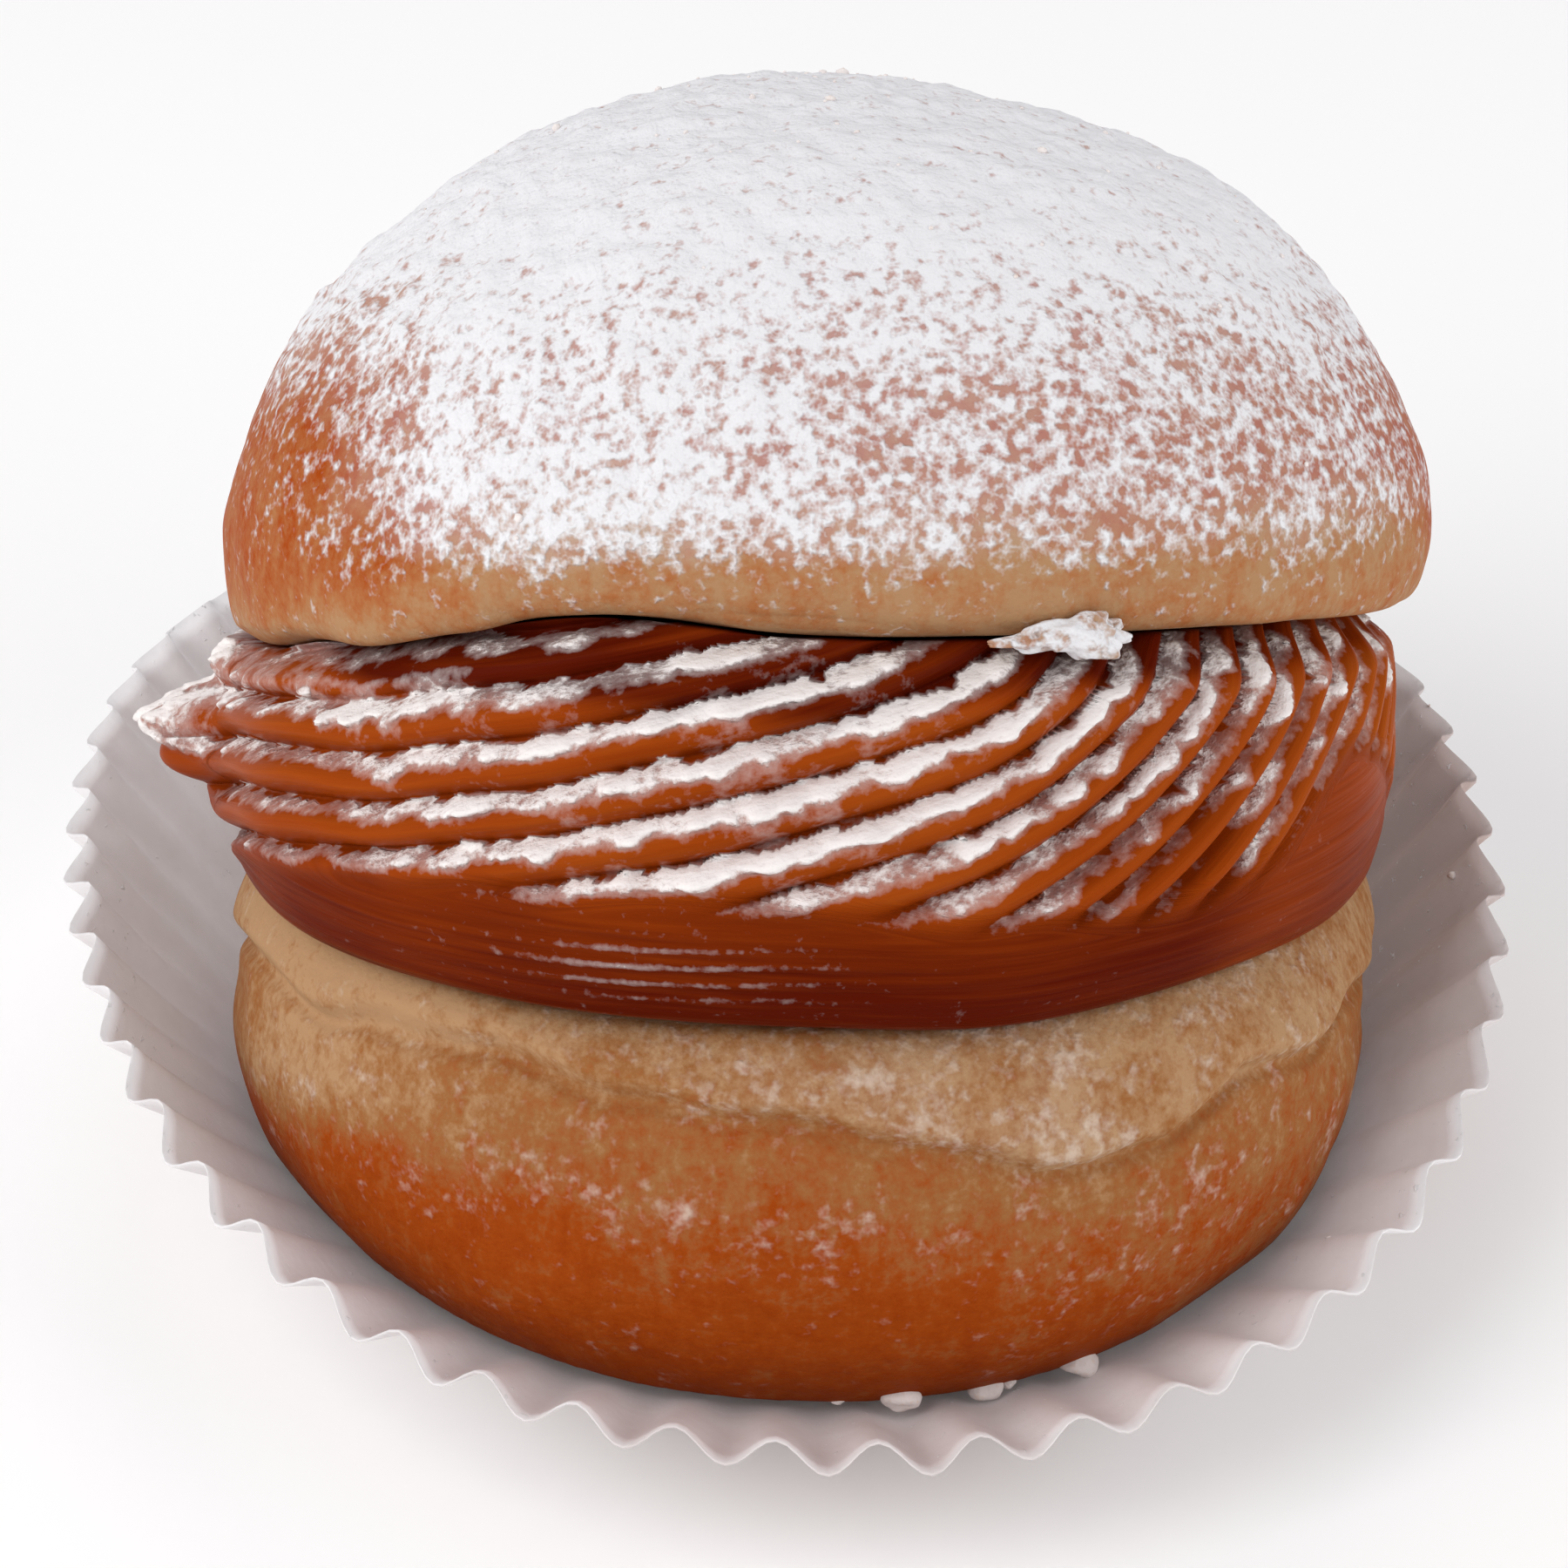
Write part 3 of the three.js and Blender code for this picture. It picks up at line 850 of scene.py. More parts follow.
@dataclass
class LowerHalf:
    """Lower half of the bun, settled in its case."""

    pose: Pose
    case: PaperCase
    radius: float = 43.0
    half_height: float = 30.0
    cut_height: float = 12.05
    cut_tilt: float = 0.5
    lip_round: float = 2.6
    lip_sag: float = 0.8
    lip_sag_x: float = 13.0
    lip_sag_width: float = 9.0
    lip_swell: float = 0.9
    crease_depth: float = 0.9
    crease_width: float = 1.1
    crease_wander: float = 1.2
    hollow_depth: float = 0.4
    hollow_place: float = -3.5
    hollow_width: float = 2.5
    degree: float = 0.62  # millimetres of crust in a degree of latitude
    unevenness: Layers = ((0.8, 21, 12), (0.4, 9, 13), (0.14, 3.6, 14))
    rest_gap: float = 0.08
    columns: int = 480
    rows: int = 176
    # Latitudes of even rows, and where they are put, closer together on the crust that shows
    rows_even: tuple[float, ...] = (-90, -62, 68, 90)
    rows_put: tuple[float, ...] = (-90, -56, 31, 90)
    crust_end: float = 22.0
    face_start: float = 28.0

    def cut(self, x: Field, y: Field) -> Field:
        """Height of the cut over points across and back in the doughnut's own frame."""
        sag = self.lip_sag * mound(x, self.lip_sag_x, self.lip_sag_width) * smoothstep(-y, 15, 38)
        return self.cut_height - y * math.tan(math.radians(self.cut_tilt)) - sag

    def crease(self, angle: Field) -> Field:
        """Latitude of the fold under the pale lip.

        Args:
            angle: Degrees round from the front.

        Returns:
            Degrees above the widest line.
        """
        left = {-180: 9, -120: 8, -75: 11, -54: 13.5, -32: 17, -20: 12, -3: 10}
        right = {7: 6, 22: 2, 36: 2.5, 46: 8.5, 60: 7, 90: 8, 130: 10}
        return round_trip(angle, left | right)

    def build(self) -> Skin:
        """Shapes the ball, cuts it across and presses it flat where it rests.

        Returns:
            The half, with its browning and its sugar noted.
        """
        skin = Skin("bun_lower_half", ball(self.columns, self.rows))
        evenly, angle = latitude_and_angle(skin.points())
        latitude = np.interp(evenly, self.rows_even, self.rows_put)
        points = on_ball(latitude, angle) * np.array([self.radius, self.radius, self.half_height])
        points[:, 2] = soft_min(points[:, 2], self.cut(points[:, 0], points[:, 1]), self.lip_round)
        skin.move(points)
        # Millimetres above the fold, which wanders
        over = self.degree * (latitude - self.crease(angle)) + self.crease_wander * lumps(points, 7, 11)
        relief = self.lip_swell * smoothstep(over, 0, 2.2)
        relief -= self.hollow_depth * mound(over, self.hollow_place, self.hollow_width)
        relief -= self.crease_depth * mound(over, 0, self.crease_width)
        relief += layered(points, self.unevenness)
        relief *= 1 - smoothstep(latitude, self.crust_end, self.face_start)
        points += skin.normals() * relief[:, None]
        placed = self.pose.out(points)
        placed[:, 2] = np.maximum(placed[:, 2], self.case.height(placed) + self.rest_gap)
        self.note_finish(skin, placed, latitude, angle, over)
        skin.move(placed)
        return skin

    def note_finish(self, skin: Skin, points: Points, latitude: Field, angle: Field, over: Field) -> None:
        """Notes how brown the crust is, with painted light and shade, and how much sugar lies on it.

        Args:
            skin: The half.
            points: Its points.
            latitude: Their degrees above the widest line.
            angle: Their degrees round from the front.
            over: Their distance above the fold.
        """
        # Brown from an uneven edge downwards, cream above the fold
        edge = round_trip(angle, {-180: -4, -75: -4, -34: 0, -2: -2, 35: -9, 75: -6, 120: -4})
        below = edge - latitude + 5 * lumps(points, 9, 15) + 2 * lumps(points, (9, 9, 2.5), 16)
        fried = smoothstep(below, -3, 6)
        brown = 0.40 + 0.45 * smoothstep(below, -6, 9) + 0.10 * smoothstep(below, 10, 36)
        brown -= 0.22 * smoothstep(over + 0.8 * lumps(points, 4, 17), -1.2, 1.2)
        # Paler at both sides with painted light, darker above the edge at the front with painted shade
        brown -= 0.28 * mound(angle, -58, 22) * (1 - fried)
        brown -= 0.22 * mound(angle, 60, 20) * fried
        brown += 0.12 * mound(angle, -8, 18) * (1 - fried)
        brown = np.where(latitude > 24, 0.02, brown)
        skin.note(Note.BROWNING, np.clip(brown, 0, 1))
        # Sugar on the lip and a little along the edge, none on the cut
        sugar = 0.36 * smoothstep(over, -2, 2.5) * mound(angle, 18, 38) + 0.16 * lumps(points, 6, 18)
        sugar += 0.10 * mound(below, 1, 5) - 0.08 * smoothstep(below, 6, 20)
        skin.note(Note.SUGAR, np.where(latitude > 26, -0.3, sugar))


@dataclass
class UpperHalf:
    """Upper half of the bun, a dome that rests on the filling."""

    pose: Pose
    radius: float = 45.0
    dome: float = 33.8
    skirt: float = 24.0
    skirt_depth: float = 0.22
    cut: float = 5.35
    crown: float = 1.3
    point: float = 1.07
    sag: float = 6.0
    sag_start: float = -10.0
    lip_round: float = 2.6
    lip_inset: float = 5.0
    lip_reach: float = 20.0
    lip_lift: float = 1.6
    lip_lift_x: float = -16.0
    lip_lift_width: float = 10.0
    lip_droop: float = 3.0
    lip_droop_x: float = -34.0
    lip_droop_width: float = 6.0
    side_droop: float = 3.2
    side_droop_angle: float = -82.0
    side_droop_width: float = 27.0
    unevenness: Layers = ((0.9, 24, 21), (0.5, 10, 22), (0.18, 4, 23))
    heap: float = 0.28
    heap_lumps: Layers = ((0.26, 1.9, 24), (0.18, 1.2, 25))
    columns: int = 500
    rows: int = 190
    # Latitudes of even rows, and where they are put, closer together on the crust that shows
    rows_even: tuple[float, ...] = (-90, -72, 90)
    rows_put: tuple[float, ...] = (-90, -26, 90)
    face_end: float = -24.0
    crust_start: float = -14.0

    def underside_lift(self, x: Field, y: Field, skirt: float | Field = 1.0) -> Field:
        """How far the underside lies above a flat cut.

        Args:
            x: Across, in the half's own frame.
            y: Back, in the half's own frame.
            skirt: Share of the droop at the left, which only the skirt has.

        Returns:
            The lift, less than nothing where the back edge or the left edge droops.
        """
        rim = self.radius - self.lip_inset
        inside = rim - self.lip_reach
        back = np.clip((y - self.sag_start) / (self.radius - self.sag_start), 0, 1)
        lip = self.lip_lift * mound(x, self.lip_lift_x, self.lip_lift_width)
        lip -= self.lip_droop * mound(x, self.lip_droop_x, self.lip_droop_width)
        lip *= np.clip((-y - inside) / self.lip_reach, 0, 1)
        turned = np.degrees(np.arctan2(x, -y))
        side = self.side_droop * skirt * mound(turned, self.side_droop_angle, self.side_droop_width)
        return lip - self.sag * back**2 - side * smoothstep(np.hypot(x, y), inside, rim)

    def cut_above(self, x: Field, y: Field) -> Field:
        """Height of the underside in the doughnut's own frame.

        Args:
            x: Across, in the doughnut's own frame.
            y: Back, in the doughnut's own frame.

        Returns:
            The heights.
        """
        tilt = math.radians(self.pose.lean)
        at_x, at_y, at_z = self.pose.offset
        level = (y - at_y) / math.cos(tilt)
        along = level - self.underside_lift(x - at_x, level) * math.tan(tilt)
        lift = self.underside_lift(x - at_x, along)
        return at_z - (y - at_y) * math.tan(tilt) + lift / math.cos(tilt)

    def shaped(self, unit: Points) -> Points:
        """Moves points of a unit ball on to the dome and its skirt.

        Args:
            unit: Points of the ball.

        Returns:
            The points in the half's own frame.
        """
        above = unit[:, 2] > 0
        rise = np.where(above, unit[:, 2], 0) ** self.point
        spread = np.where(above, np.hypot(unit[:, 0], unit[:, 1]) ** (self.point - 1), 1) * self.radius
        x = unit[:, 0] * spread + self.crown * rise
        y = unit[:, 1] * spread
        z = np.where(above, self.dome * rise, self.skirt * unit[:, 2])
        z = soft_max(z + self.cut, np.zeros(len(z)), self.lip_round)
        skirt = smoothstep(-unit[:, 2], 0.0, self.skirt_depth)
        return np.column_stack([x, y, z + self.underside_lift(x, y, skirt)])

    def build(self) -> Skin:
        """Shapes the dome, with the unevenness of a proved and fried bun and its sugar.

        Returns:
            The half, with its browning and its sugar noted.
        """
        skin = Skin("bun_upper_half", ball(self.columns, self.rows))
        evenly, angle = latitude_and_angle(skin.points())
        latitude = np.interp(evenly, self.rows_even, self.rows_put)
        points = self.shaped(on_ball(latitude, angle))
        skin.move(points)
        sugar = self.note_finish(skin, points, latitude, angle)
        relief = (self.heap + layered(points, self.heap_lumps)) * smoothstep(sugar, 0.35, 0.8)
        relief += layered(points, self.unevenness)
        relief *= smoothstep(latitude, self.face_end, self.crust_start)
        points += skin.normals() * relief[:, None]
        skin.move(self.pose.out(points))
        return skin

    def note_finish(self, skin: Skin, points: Points, latitude: Field, angle: Field) -> Field:
        """Notes how brown the crust is and how much sugar lies on it.

        Args:
            skin: The half.
            points: Its points.
            latitude: Their degrees above the widest line.
            angle: Their degrees round from the front.

        Returns:
            The share of each point that sugar covers.
        """
        underside = latitude < -20
        # Sugar is thin on the sides, least on the left flank, and thick on top
        thin = {-180: 0.4, -120: 0.34, -78: 0.08, -54: 0.26, -37: 0.82, -15: 0.85, 0: 0.7, 28: 0.58}
        thin = round_trip(angle, thin | {60: 0.56, 85: 0.3, 120: 0.34})
        reach = latitude + 5 * lumps(points, 11, 26) + 3 * lumps(points, 4.5, 27)
        flank = mound(angle, -68, 24)
        sugar = -0.04 + thin * smoothstep(reach, -8, 8)
        sugar += (1.12 - thin) * smoothstep(reach, 12 - 2 * flank, 50 - 7 * flank)
        skin.note(Note.SUGAR, np.where(underside, 0, sugar))
        # Brown above a pale band that follows the lip
        band = {-180: 0, -100: -6, -70: -14, -48: -10, -30: 3, -15: 5, 0: 2, 40: 3, 62: 6, 85: -6, 120: -2}
        rising = latitude - round_trip(angle, band) + 4 * lumps(points, 8, 28)
        most = 0.48 - 0.08 * mound(angle, -65, 25)
        brown = 0.20 + most * smoothstep(rising, -4, 9) + 0.10 * lumps(points, 14, 29)
        skin.note(Note.BROWNING, np.where(underside, 0.02, np.clip(brown, 0, 1)))
        return sugar


@dataclass(frozen=True)
class Side:
    """Points of the filling before they get their ridges."""

    angle: Field  # degrees round from the front
    share: Field  # share of the height there
    rise: Field  # height above the lower cut
    inward: Field  # 1 on the side, less towards the middle of either face


@dataclass
class Filling:
    """Piped caramel between the two halves."""

    pose: Pose
    lower: LowerHalf
    upper: UpperHalf
    radius: float = 42.0
    bulge_front: float = 5.0
    bulge_back: float = -3.0
    bulge_low: float = 0.75
    bulge_full: float = 0.7
    recess: float = 2.4
    recess_start: float = 0.82
    gap: float = 0.22
    rim_swell: float = 0.45
    rim_swell_start: float = 36.0
    rim_swell_end: float = 39.5
    ridge_spacing: float = 3.5
    ridge_depth: float = 2.2
    ridge_proud: float = 0.35
    ridge_round: float = 0.85
    ridge_start: float = -80.0
    ridge_first: float = 1.4
    ridge_steepest: float = 40.0
    ridge_slope: float = 0.12
    ridge_slope_added: float = 0.5
    ridge_bend: float = 3.5
    ridges_a_turn: int = 32
    ridge_dip: float = 4.4
    ridge_wander: float = 0.10
    unevenness: float = 0.35
    foot_height: float = 10.3
    foot_drop: float = 12.3
    foot_tallest: float = -8.0
    foot_least: float = 1.5
    foot_right: float = 10.8
    foot_right_angle: float = 63.0
    foot_right_width: float = 17.0
    ends_reach: float = 5.6
    ends_width: float = 5.4
    ends_height: float = 3.6
    ends_angle: float = -92.0
    ends_rise: float = 7.6
    cake_width: float = 6.5
    cake_depth: float = 1.7
    cake_lumps: Layers = ((1.5, 2.6, 46), (0.8, 1.2, 48))
    heap: float = 0.65
    heap_lumps: Layers = ((0.60, 1.7, 42), (0.25, 1.0, 37))
    comb_angle: float = -12.0
    comb_angle_width: float = 14.0
    comb_rise: float = 4.6
    comb_rise_width: float = 2.4
    comb_climb: float = 0.03
    comb_spacing: float = 1.3
    comb_depth: float = 0.15
    foot_grain: float = 0.12
    columns: int = 650
    rows: int = 150
    crowding: float = 28.0
    face_latitude: float = 85.0

    def climb(self, angle: Field) -> Field:
        """Height of the groove under a ridge, which climbs from where the ridges lie flattest.

        Args:
            angle: Degrees round from the front.

        Returns:
            The heights.
        """
        turned = (angle - self.ridge_start) % 360
        rising = self.ridge_steepest - self.ridge_start
        falling = 360 - rising
        gained = self.ridge_slope_added * rising / (self.ridge_bend + 1)
        left = self.ridges_a_turn * self.ridge_spacing - self.ridge_slope * 360 - gained
        power = self.ridge_slope_added * falling / left
        first = gained * np.clip(turned / rising, 0, 1) ** (self.ridge_bend + 1)
        second = left * (1 - (1 - np.clip((turned - rising) / falling, 0, 1)) ** power)
        dip = self.ridge_dip * (1 - np.cos(np.radians(angle)))
        return self.ridge_first - self.ridge_spacing / 2 + self.ridge_slope * turned + first + second - dip

    def past_ends(self, at: Side) -> Field:
        """Millimetres round the side from the strand ends."""
        return np.radians((at.angle - self.ends_angle + 180) % 360 - 180) * self.radius

    def ends(self, at: Side) -> Field:
        """Share of the two strand ends that stick out at the left."""
        upright = np.exp(-(((at.rise - self.ends_rise) / self.ends_height) ** 4))
        return mound(self.past_ends(at), 0, self.ends_width) * upright

    def caked(self, at: Side) -> Field:
        """Share of the lump of caked sugar on the upper strand end."""
        upper_end = smoothstep(at.rise, self.ends_rise - 0.4, self.ends_rise + 0.8)
        return mound(self.past_ends(at), 0, self.cake_width) * upper_end

    def side_radius(self, at: Side) -> Field:
        """Radius of the side without its ridges.

        Args:
            at: Points of the side.

        Returns:
            The radii.
        """
        front = (1 + np.cos(np.radians(at.angle))) / 2
        bulge = self.bulge_back + (self.bulge_front - self.bulge_back) * front
        belly = np.abs(np.sin(np.pi * at.share**self.bulge_low)) ** self.bulge_full
        drawn_in = self.recess * smoothstep(at.share, self.recess_start, 1.0)
        drawn_in *= 1 - 0.8 * mound(at.angle, self.ends_angle, 24)
        return self.radius + bulge * belly + self.ends_reach * self.ends(at) - drawn_in

    def foot(self, angle: Field) -> Field:
        """Height of the smooth foot under the ridges.

        Args:
            angle: Degrees round from the front.

        Returns:
            The heights.
        """
        drop = self.foot_drop * (1 - np.cos(np.radians(angle - self.foot_tallest)))
        right = self.foot_right * mound(angle, self.foot_right_angle, self.foot_right_width)
        return np.maximum(self.foot_least, self.foot_height - drop) + right

    def between(self, angle: Field, radius: Field, share: Field) -> Points:
        """Points between the two cuts.

        Args:
            angle: Degrees round from the front.
            radius: Distance from the doughnut's axis.
            share: Share of the height there.

        Returns:
            The points in the doughnut's own frame.
        """
        x = radius * np.sin(np.radians(angle))
        y = -radius * np.cos(np.radians(angle))
        low = self.lower.cut(x, y) + self.gap
        # The upper rim swells up under the round lip
        swell = self.rim_swell * smoothstep(radius, self.rim_swell_start, self.rim_swell_end)
        high = self.upper.cut_above(x, y) - self.gap + swell
        return np.column_stack([x, y, low + (high - low) * share])

    def laid_out(self, unit: Points) -> Side:
        """Lays points of a unit ball out on the side and the two faces.

        Args:
            unit: Points of the ball.

        Returns:
            The same points of the filling.
        """
        evenly, turned = latitude_and_angle(unit)
        # The columns crowd at the front, where the mouth shows
        angle = turned - self.crowding * np.sin(np.radians(turned))
        share = np.clip((evenly + self.face_latitude) / (2 * self.face_latitude), 0, 1)
        inward = np.interp(np.abs(evenly), [self.face_latitude, 90], [1, 0])
        rim = np.full(len(angle), self.radius)
        top = self.between(angle, rim, np.ones(len(angle)))
        foot = self.between(angle, rim, np.zeros(len(angle)))
        return Side(angle, share, share * (top - foot)[:, 2], inward)

    def build(self) -> Skin:
        """Shapes the piped strands, their smooth foot and the sugar that caught on them.

        Returns:
            The filling, with its sugar and painted highlights, its painted light and shade
            and the way of its strands noted.
        """
        skin = Skin("caramel_filling", ball(self.columns, self.rows))
        at = self.laid_out(skin.points())
        radius = self.side_radius(at)
        smooth = self.between(at.angle, radius * at.inward, at.share)
        phase = (at.rise - self.climb(at.angle)) / self.ridge_spacing
        phase += self.ridge_wander * lumps(smooth, 9, 31)
        crest = np.abs(np.sin(np.pi * phase)) ** (self.ridge_round - 0.4 * self.ends(at))
        foot = self.foot(at.angle) + lumps(smooth, 8, 32)
        ridged = smoothstep(at.rise, foot - self.foot_least, foot + self.foot_least)
        relief = self.ridge_depths(at, smooth) * (crest - 1 + self.ridge_proud) * ridged
        fine = np.column_stack([smooth[:, :2] / 12, at.rise / 0.8])
        relief += (1 - ridged) * self.foot_grain * lumps(fine, 1.0, 34)
        # A comb has drawn fine lines along the foot
        combed = mound(at.angle, self.comb_angle, self.comb_angle_width)
        combed *= mound(at.rise, self.comb_rise, self.comb_rise_width)
        tooth = (at.rise - self.comb_climb * at.angle) / self.comb_spacing
        teeth = np.sin(2 * np.pi * tooth + lumps(smooth, 9, 36))
        relief += self.comb_depth * combed * teeth + self.unevenness * lumps(smooth, 12, 35)
        sugar = self.sugar(at, phase, smooth)
        heaped = (self.heap + layered(smooth, self.heap_lumps)) * smoothstep(sugar, 0.3, 1.05)
        heaped += self.caked(at) * (self.cake_depth + layered(smooth, self.cake_lumps))
        relief = (relief + heaped * ridged) * at.inward
        skin.move(self.pose.out(self.between(at.angle, (radius + relief) * at.inward, at.share)))
        sugar = sugar * ridged - 0.3 * (1 - ridged)
        # Painted highlights: pale lines, laid as sugar along the comb's teeth, stand for glints of light on
        # them
        sugar += 0.75 * combed * smoothstep(teeth, 0.0, 0.9) * (0.9 + 0.5 * lumps(smooth, 5, 39))
        skin.note(Note.SUGAR, np.where(at.inward < 1, -0.3, sugar))
        self.note_shade(skin, at, ridged * (0.3 + 0.7 * crest), smooth)
        along = np.radians(at.angle) * self.radius
        across = at.rise - self.climb(at.angle) * ridged
        skin.note(Note.STRAND, np.column_stack([along, across, 0 * along]) * MM)
        return skin

    def ridge_depths(self, at: Side, points: Points) -> Field:
        """How deep the grooves between the ridges are.

        Args:
            at: Points of the side.
            points: Their places.

        Returns:
            The depths, less at the strand ends and low on the right.
        """
        depth = self.ridge_depth * (1 + 0.2 * lumps(points, 7, 33)) * (1 - 0.5 * self.ends(at))
        depth *= 1 - 0.8 * self.caked(at)
        return depth * (1 - 0.55 * smoothstep(at.angle, 34, 56) * (1 - smoothstep(at.share, 0.5, 0.82)))

    def note_shade(self, skin: Skin, at: Side, thin: Field, points: Points) -> None:
        """Notes painted light and shade: light on crests and the right, dark under the lip and foot.

        Args:
            skin: The filling.
            at: Points of its side.
            thin: Share of a crest, which gets painted light.
            points: Their places.
        """
        # Painted light on the crests and higher up, painted shade low down, and some random tone
        shade = 0.10 + 0.20 * smoothstep(at.rise, 2, 12) + 0.36 * thin + 0.12 * lumps(points, 9, 38)
        # Painted shade low at the front, where the caramel meets the lower half
        shade -= 0.14 * (1 - smoothstep(at.rise, 0, 5)) * mound(at.angle, 5, 45)
        # Painted light on the right side
        shade += 0.2 * mound(at.angle, 72, 26)
        # Painted shade under the lip of the upper half, from a share of the height that differs round it
        lip = {-180: 0.84, -75: 0.97, -62: 0.95, -46: 0.86, -20: 0.76, 5: 0.77, 20: 0.84, 90: 0.84}
        lip = round_trip(at.angle, lip)
        shade -= 0.6 * smoothstep(at.share, lip, lip + 0.08)
        skin.note(Note.SHADE, np.clip(shade, 0, 1))

    def sugar(self, at: Side, phase: Field, points: Points) -> Field:
        """How much sugar caught on the filling.

        Args:
            at: Points of the side.
            phase: Place across a ridge, a half on its crest and more above it.
            points: Their places.

        Returns:
            The shares, less than nothing where the caramel is bare.
        """
        beads = lumps(points, 1.7, 42)
        ragged = (phase + 0.13 * lumps(points, 1.6, 43) + 0.05 * lumps(points, 0.8, 44)) % 1
        on_ridges = self.sugar_on_ridges(at, ragged, points) + 0.35 * beads
        # A strip of loose sugar lies under the lip at the left
        dusted = smoothstep(at.angle, -105, -85) * (1 - smoothstep(at.angle, -38, -22))
        dusted *= smoothstep(at.share, 0.79, 0.84)
        dusted *= 1 - smoothstep(at.share, 0.90, 0.95) * smoothstep(at.angle, -60, -45)
        loose = 0.30 + 0.5 * beads + 0.35 * lumps(points, 1.0, 37)
        return np.maximum(on_ridges, loose - 2 * (1 - dusted))

    def sugar_on_ridges(self, at: Side, phase: Field, points: Points) -> Field:
        """How much sugar caught on the ridges: on the upper side of each, with breaks.

        Args:
            at: Points of the side.
            phase: Place across a ridge, with a ragged edge.
            points: Their places.

        Returns:
            The shares, less than nothing where the caramel is bare.
        """
        angle = at.angle
        low = round_trip(angle, {-180: 0.5, -45: 0.5, -25: 0.46, 0: 0.42, 15: 0.44, 35: 0.5, 90: 0.5})
        band = smoothstep(phase, low, low + 0.34)
        # More at the front, less at the sides and under the lip, more again near the top of the sides
        left = {-180: 0.2, -110: 0.1, -75: -0.11, -55: -0.09, -40: 0.03, -25: 0.28, 0: 0.46}
        right = {18: 0.26, 32: 0.0, 45: -0.16, 60: -0.22, 90: -0.15, 120: 0.1}
        sieved = round_trip(angle, left | right) - 0.5 * smoothstep(at.share, 0.94, 0.99)
        bare = {-180: 0.5, -110: 0.0, -48: 0.0, -38: 0.2, -28: 0.4, -18: 0.3, -8: 0, 40: 0, 90: 0.3}
        sieved -= round_trip(angle, bare) * smoothstep(at.share, 0.78, 0.86)
        at_top = {-180: 0, -90: 0.2, -40: 0.2, -20: 0, 18: 0.05, 35: 0.22, 60: 0.36, 85: 0.3, 110: 0}
        sieved += round_trip(angle, at_top) * smoothstep(at.share, 0.58, 0.78)
        sieved -= 0.3 * (1 - smoothstep(at.share, 0.42, 0.6)) * smoothstep(angle, -15, 10)
        sieved += 0.6 * lumps(points, 3.4, 45) * smoothstep(angle, 22, 40)
        sieved += 0.55 * (2 * band - 1) + 0.22 * lumps(points, 6, 41)
        # The upper strand end is caked, the lower one bare
        caked = self.caked(at)
        lower_end = mound(angle, self.ends_angle, 16) * mound(at.rise, self.ends_rise - 2, 2.6)
        sieved -= 1.1 * lower_end * (1 - caked)
        return sieved + caked * (0.84 + 0.6 * lumps(points, 1.4, 47) - sieved)


@dataclass
class LipFlake:
    """A sugared flake of crust that hangs under the lip of the upper half."""

    pose: Pose
    angle: float = 22.0
    radius: float = 44.3
    height: float = 0.4
    size: Place = (10.0, 2.8, 2.9)
    fullness: float = 0.95
    crumpling: Layers = ((0.24, 2.6, 51), (0.42, 1.3, 52), (0.22, 0.7, 54))
    thin_end: float = 0.42
    bow: float = 0.012
    browning: float = 0.12
    sugar: float = 0.72
    sugar_variety: float = 0.5
    subdivisions: int = 5

    def build(self) -> Skin:
        """Crumples a small ball and sets it on the lip.

        Returns:
            The flake, with its browning and its sugar noted.
        """
        shape = bmesh.new()
        bmesh.ops.create_icosphere(shape, subdivisions=self.subdivisions, radius=1.0)
        skin = Skin("sugared_lip_flake", shape)
        unit = skin.points()
        points = unit * np.array(self.size) / 2
        points = points * (self.fullness + layered(points, self.crumpling))[:, None]
        # Its left end runs out thin
        thinned = self.thin_end + (1 - self.thin_end) * smoothstep(unit[:, 0], -1.0, 0.25)
        points[:, 1:] *= thinned[:, None]
        points[:, 2] -= self.bow * points[:, 0] ** 2
        sine = math.sin(math.radians(self.angle))
        cosine = math.cos(math.radians(self.angle))
        x = points[:, 0] * cosine - (points[:, 1] - self.radius) * sine
        y = points[:, 0] * sine + (points[:, 1] - self.radius) * cosine
        placed = self.pose.out(np.column_stack([x, y, points[:, 2] + self.height]))
        skin.move(placed)
        skin.note(Note.SUGAR, self.sugar + self.sugar_variety * lumps(placed, 1.1, 53))
        skin.note(Note.BROWNING, np.full(len(placed), self.browning))
        return skin


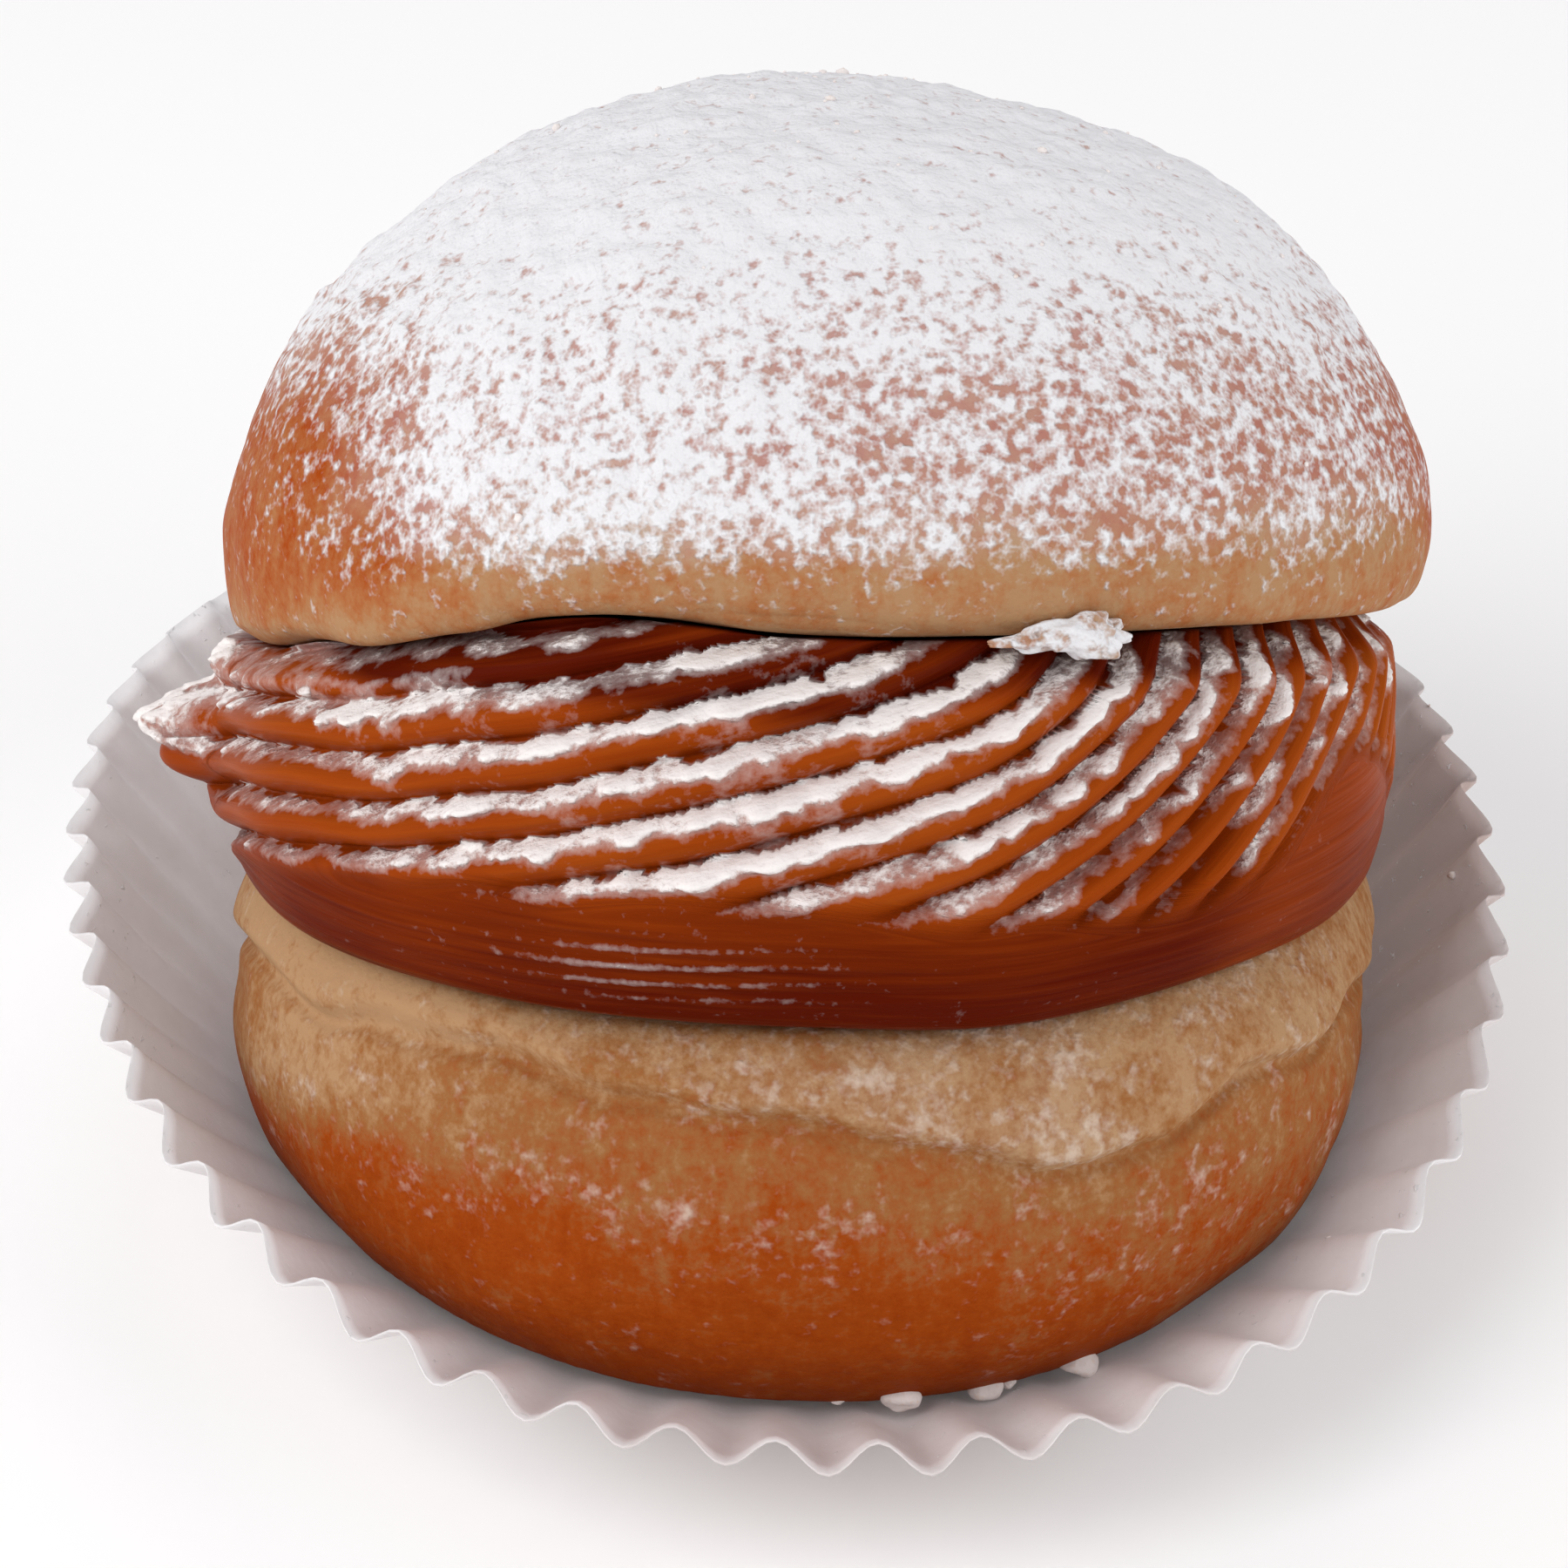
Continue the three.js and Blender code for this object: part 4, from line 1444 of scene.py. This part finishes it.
@dataclass
class SugarCrumbs:
    """Loose crumbs of caked sugar, all of them one piece."""

    case: PaperCase
    seed: int = 5
    on_dome: int = 120
    on_paper: int = 50
    gathering: int = 3
    upward: float = 0.1
    small: tuple[float, float] = (0.2, 0.45)
    large: tuple[float, float] = (0.5, 0.95)
    large_share: float = 0.15
    flattest: Place = (0.8, 0.7, 0.5)
    fullest: Place = (1.3, 1.1, 0.85)
    broken: float = 0.4
    sunk: float = 0.1
    # Clods that fell on the paper beside the bun: across, back and size
    fallen_clods: tuple[Place, ...] = (
        (4.2, -49.3, 1.1),
        (8.8, -49.6, 2.3),
        (14.7, -46.9, 2.7),
        (16.5, -46.8, 1.2),
        (21.8, -45.0, 2.5),
    )
    clod_normal: Place = (0.0, -0.4, 0.9)

    def fallen(self) -> tuple[Points, Points, Field]:
        """Places, normals and sizes of the clods on the paper.

        Returns:
            The points, the normals there and the sizes.
        """
        clods = np.array(self.fallen_clods)
        points = np.column_stack([clods[:, 0], clods[:, 1], self.case.height(clods) + self.sunk])
        return points, np.tile(self.clod_normal, (len(clods), 1)), clods[:, 2]

    def scattered(self, skin: Skin, count: int, rng: np.random.Generator) -> tuple[Points, Points, Field]:
        """Picks places on the upward side of a piece, most of them where its sugar is thick.

        Args:
            skin: The piece.
            count: How many to pick.
            rng: Random numbers.

        Returns:
            The points, the normals there and the sizes of the crumbs.
        """
        thick = np.clip(skin.noted(Note.SUGAR), 0, 1) ** self.gathering
        weights = thick * (skin.normals()[:, 2] > self.upward)
        chosen = rng.choice(len(weights), size=count, replace=False, p=weights / weights.sum())
        big = rng.random(count) < self.large_share
        sizes = np.where(big, rng.uniform(*self.large, count), rng.uniform(*self.small, count))
        return skin.points()[chosen], skin.normals()[chosen], sizes

    def build(self, places: list[tuple[Points, Points, Field]], rng: np.random.Generator) -> Skin:
        """Makes a flat uneven crumb at each place, sunk a little into what it lies on.

        Args:
            places: Points and normals to lie on, and sizes.
            rng: Random numbers.

        Returns:
            The crumbs.
        """
        shape = bmesh.new()
        for points, normals, sizes in places:
            for point, normal, size in zip(points, normals, sizes):
                turn = Vector(normal).to_track_quat("Z", "Y").to_matrix()
                spread = rng.uniform(self.flattest, self.fullest)
                finer = 3 if size > self.large[1] else 1
                made = bmesh.ops.create_icosphere(shape, subdivisions=finer, radius=size / 2)["verts"]
                round_crumb = np.array([vert.co for vert in made])
                uneven = 1 + self.broken * lumps(round_crumb + 100 * rng.random(3), 0.4 * size, 61)
                for vert, place in zip(made, round_crumb * spread * uneven[:, None]):
                    vert.co = turn @ Vector(place) + Vector(point + normal * size * self.sunk)
        return Skin("sugar_crumbs", shape)


@dataclass(frozen=True)
class SoftLight:
    """A square soft light: its place and width in millimetres, and its power."""

    name: str
    place: Place
    size: float
    watts: float


@dataclass
class Studio:
    """Floor, soft light and the camera."""

    eye: Place = (0.27, -379.81, 295.1)
    target: Place = (0.27, -11.21, 37.0)
    lens: float = 138.46
    sensor: float = 36.0
    floor_size: float = 3000.0
    room: str = "#fbfbff"
    room_strength: float = 0.48
    lights: tuple[SoftLight, ...] = (
        SoftLight("key_upper_left", (-350, -330, 560), 450, 1.95),
        SoftLight("fill_left", (-520, -160, 240), 420, 1.2),
        SoftLight("fill_right", (520, -240, 240), 500, 1.8),
        SoftLight("fill_front", (-60, -620, 110), 420, 0.25),
        SoftLight("back_top", (60, 420, 480), 400, 0.8),
    )

    def set_up(self, name: str, data: bpy.types.ID, place: Place) -> bpy.types.Object:
        """Sets a lamp or a camera up so that it faces the doughnut.

        Args:
            name: Its name.
            data: The lamp or the camera.
            place: Where it stands, in millimetres.

        Returns:
            The object.
        """
        thing = bpy.data.objects.new(name, data)
        thing.location = Vector(place) * MM
        aim = Vector(self.target) * MM - thing.location
        thing.rotation_euler = aim.to_track_quat("-Z", "Y").to_euler()
        bpy.context.scene.collection.objects.link(thing)
        return thing

    def lay_floor(self) -> None:
        """Lays the pale floor."""
        shape = bmesh.new()
        bmesh.ops.create_grid(shape, x_segments=4, y_segments=4, size=self.floor_size * MM / 2)
        mesh = bpy.data.meshes.new("floor")
        shape.to_mesh(mesh)
        shape.free()
        mesh.materials.append(StudioPaint().make())
        floor = bpy.data.objects.new("floor", mesh)
        bpy.context.scene.collection.objects.link(floor)

    def hang_lights(self) -> None:
        """Hangs the soft lights and fills the room with even white light."""
        for light in self.lights:
            lamp = bpy.data.lights.new(light.name, "AREA")
            lamp.size = light.size * MM
            lamp.energy = light.watts
            self.set_up(light.name, lamp, light.place)
        world = bpy.data.worlds.new("white_room")
        world.use_nodes = True
        background = world.node_tree.nodes["Background"]
        background.inputs["Color"].default_value = linear(self.room)
        background.inputs["Strength"].default_value = self.room_strength
        bpy.context.scene.world = world

    def build(self) -> None:
        """Sets up the floor, the light and the camera at the viewing angle."""
        self.lay_floor()
        self.hang_lights()
        camera = bpy.data.cameras.new("camera")
        camera.lens = self.lens
        camera.sensor_width = self.sensor
        bpy.context.scene.camera = self.set_up("camera", camera, self.eye)
        bpy.context.scene.view_settings.view_transform = "Standard"


def report(piece: bpy.types.Object) -> None:
    """Reports a finished piece and its triangles."""
    triangles = sum(len(face.vertices) - 2 for face in piece.data.polygons)
    LOG.info("%s: %d triangles", piece.name, triangles)


def main() -> None:
    """Builds the doughnut piece by piece, then the studio."""
    logging.basicConfig(level=logging.INFO, format="%(name)s %(message)s")
    doughnut = Pose(offset=(2.07, -12.71, 19.0), lean=17.0)
    case = PaperCase()
    lower = LowerHalf(pose=doughnut, case=case)
    upper = UpperHalf(pose=Pose(offset=(1.1, 0.8, 30.75), lean=12.0, around=doughnut))
    filling = Filling(pose=doughnut, lower=lower, upper=upper)
    case_skin = case.build()
    lower_skin = lower.build()
    filling_skin = filling.build()
    upper_skin = upper.build()
    flake_skin = LipFlake(pose=upper.pose).build()
    crumbs = SugarCrumbs(case=case)
    rng = np.random.default_rng(crumbs.seed)
    places = [crumbs.fallen()]
    for skin, count in ((upper_skin, crumbs.on_dome), (case_skin, crumbs.on_paper)):
        places.append(crumbs.scattered(skin, count, rng))
    crumb_skin = crumbs.build(places, rng)
    thin_dusting = Dusting(
        sugar="#dfd3c6",
        grain=1.0,
        grain_weight=1.6,
        clump=3.2,
        clump_weight=1.3,
        white_start=0.12,
        white_full=1.0,
        opacity=0.5,
        veil=0.3,
    )
    crust = FriedCrust(
        "fried_yeast_dough_lightly_dusted", thin_dusting, cream="#a98460", tan="#946239", brown="#94400f"
    ).make()
    sugared = FriedCrust("fried_yeast_dough_sugared").make()
    report(case_skin.finish(CasePaper().make(), "case_paper", "paper_case"))
    report(lower_skin.finish(crust, "fried_crust", "bun_bottom"))
    report(filling_skin.finish(MilkCaramel().make(), "caramel", "filling"))
    report(upper_skin.finish(sugared, "sugared_crust", "bun_top"))
    report(flake_skin.finish(sugared, "sugared_crust"))
    report(crumb_skin.finish(IcingSugar().make(), "sugared_crust"))
    Studio().build()


if __name__ == "__main__":
    main()
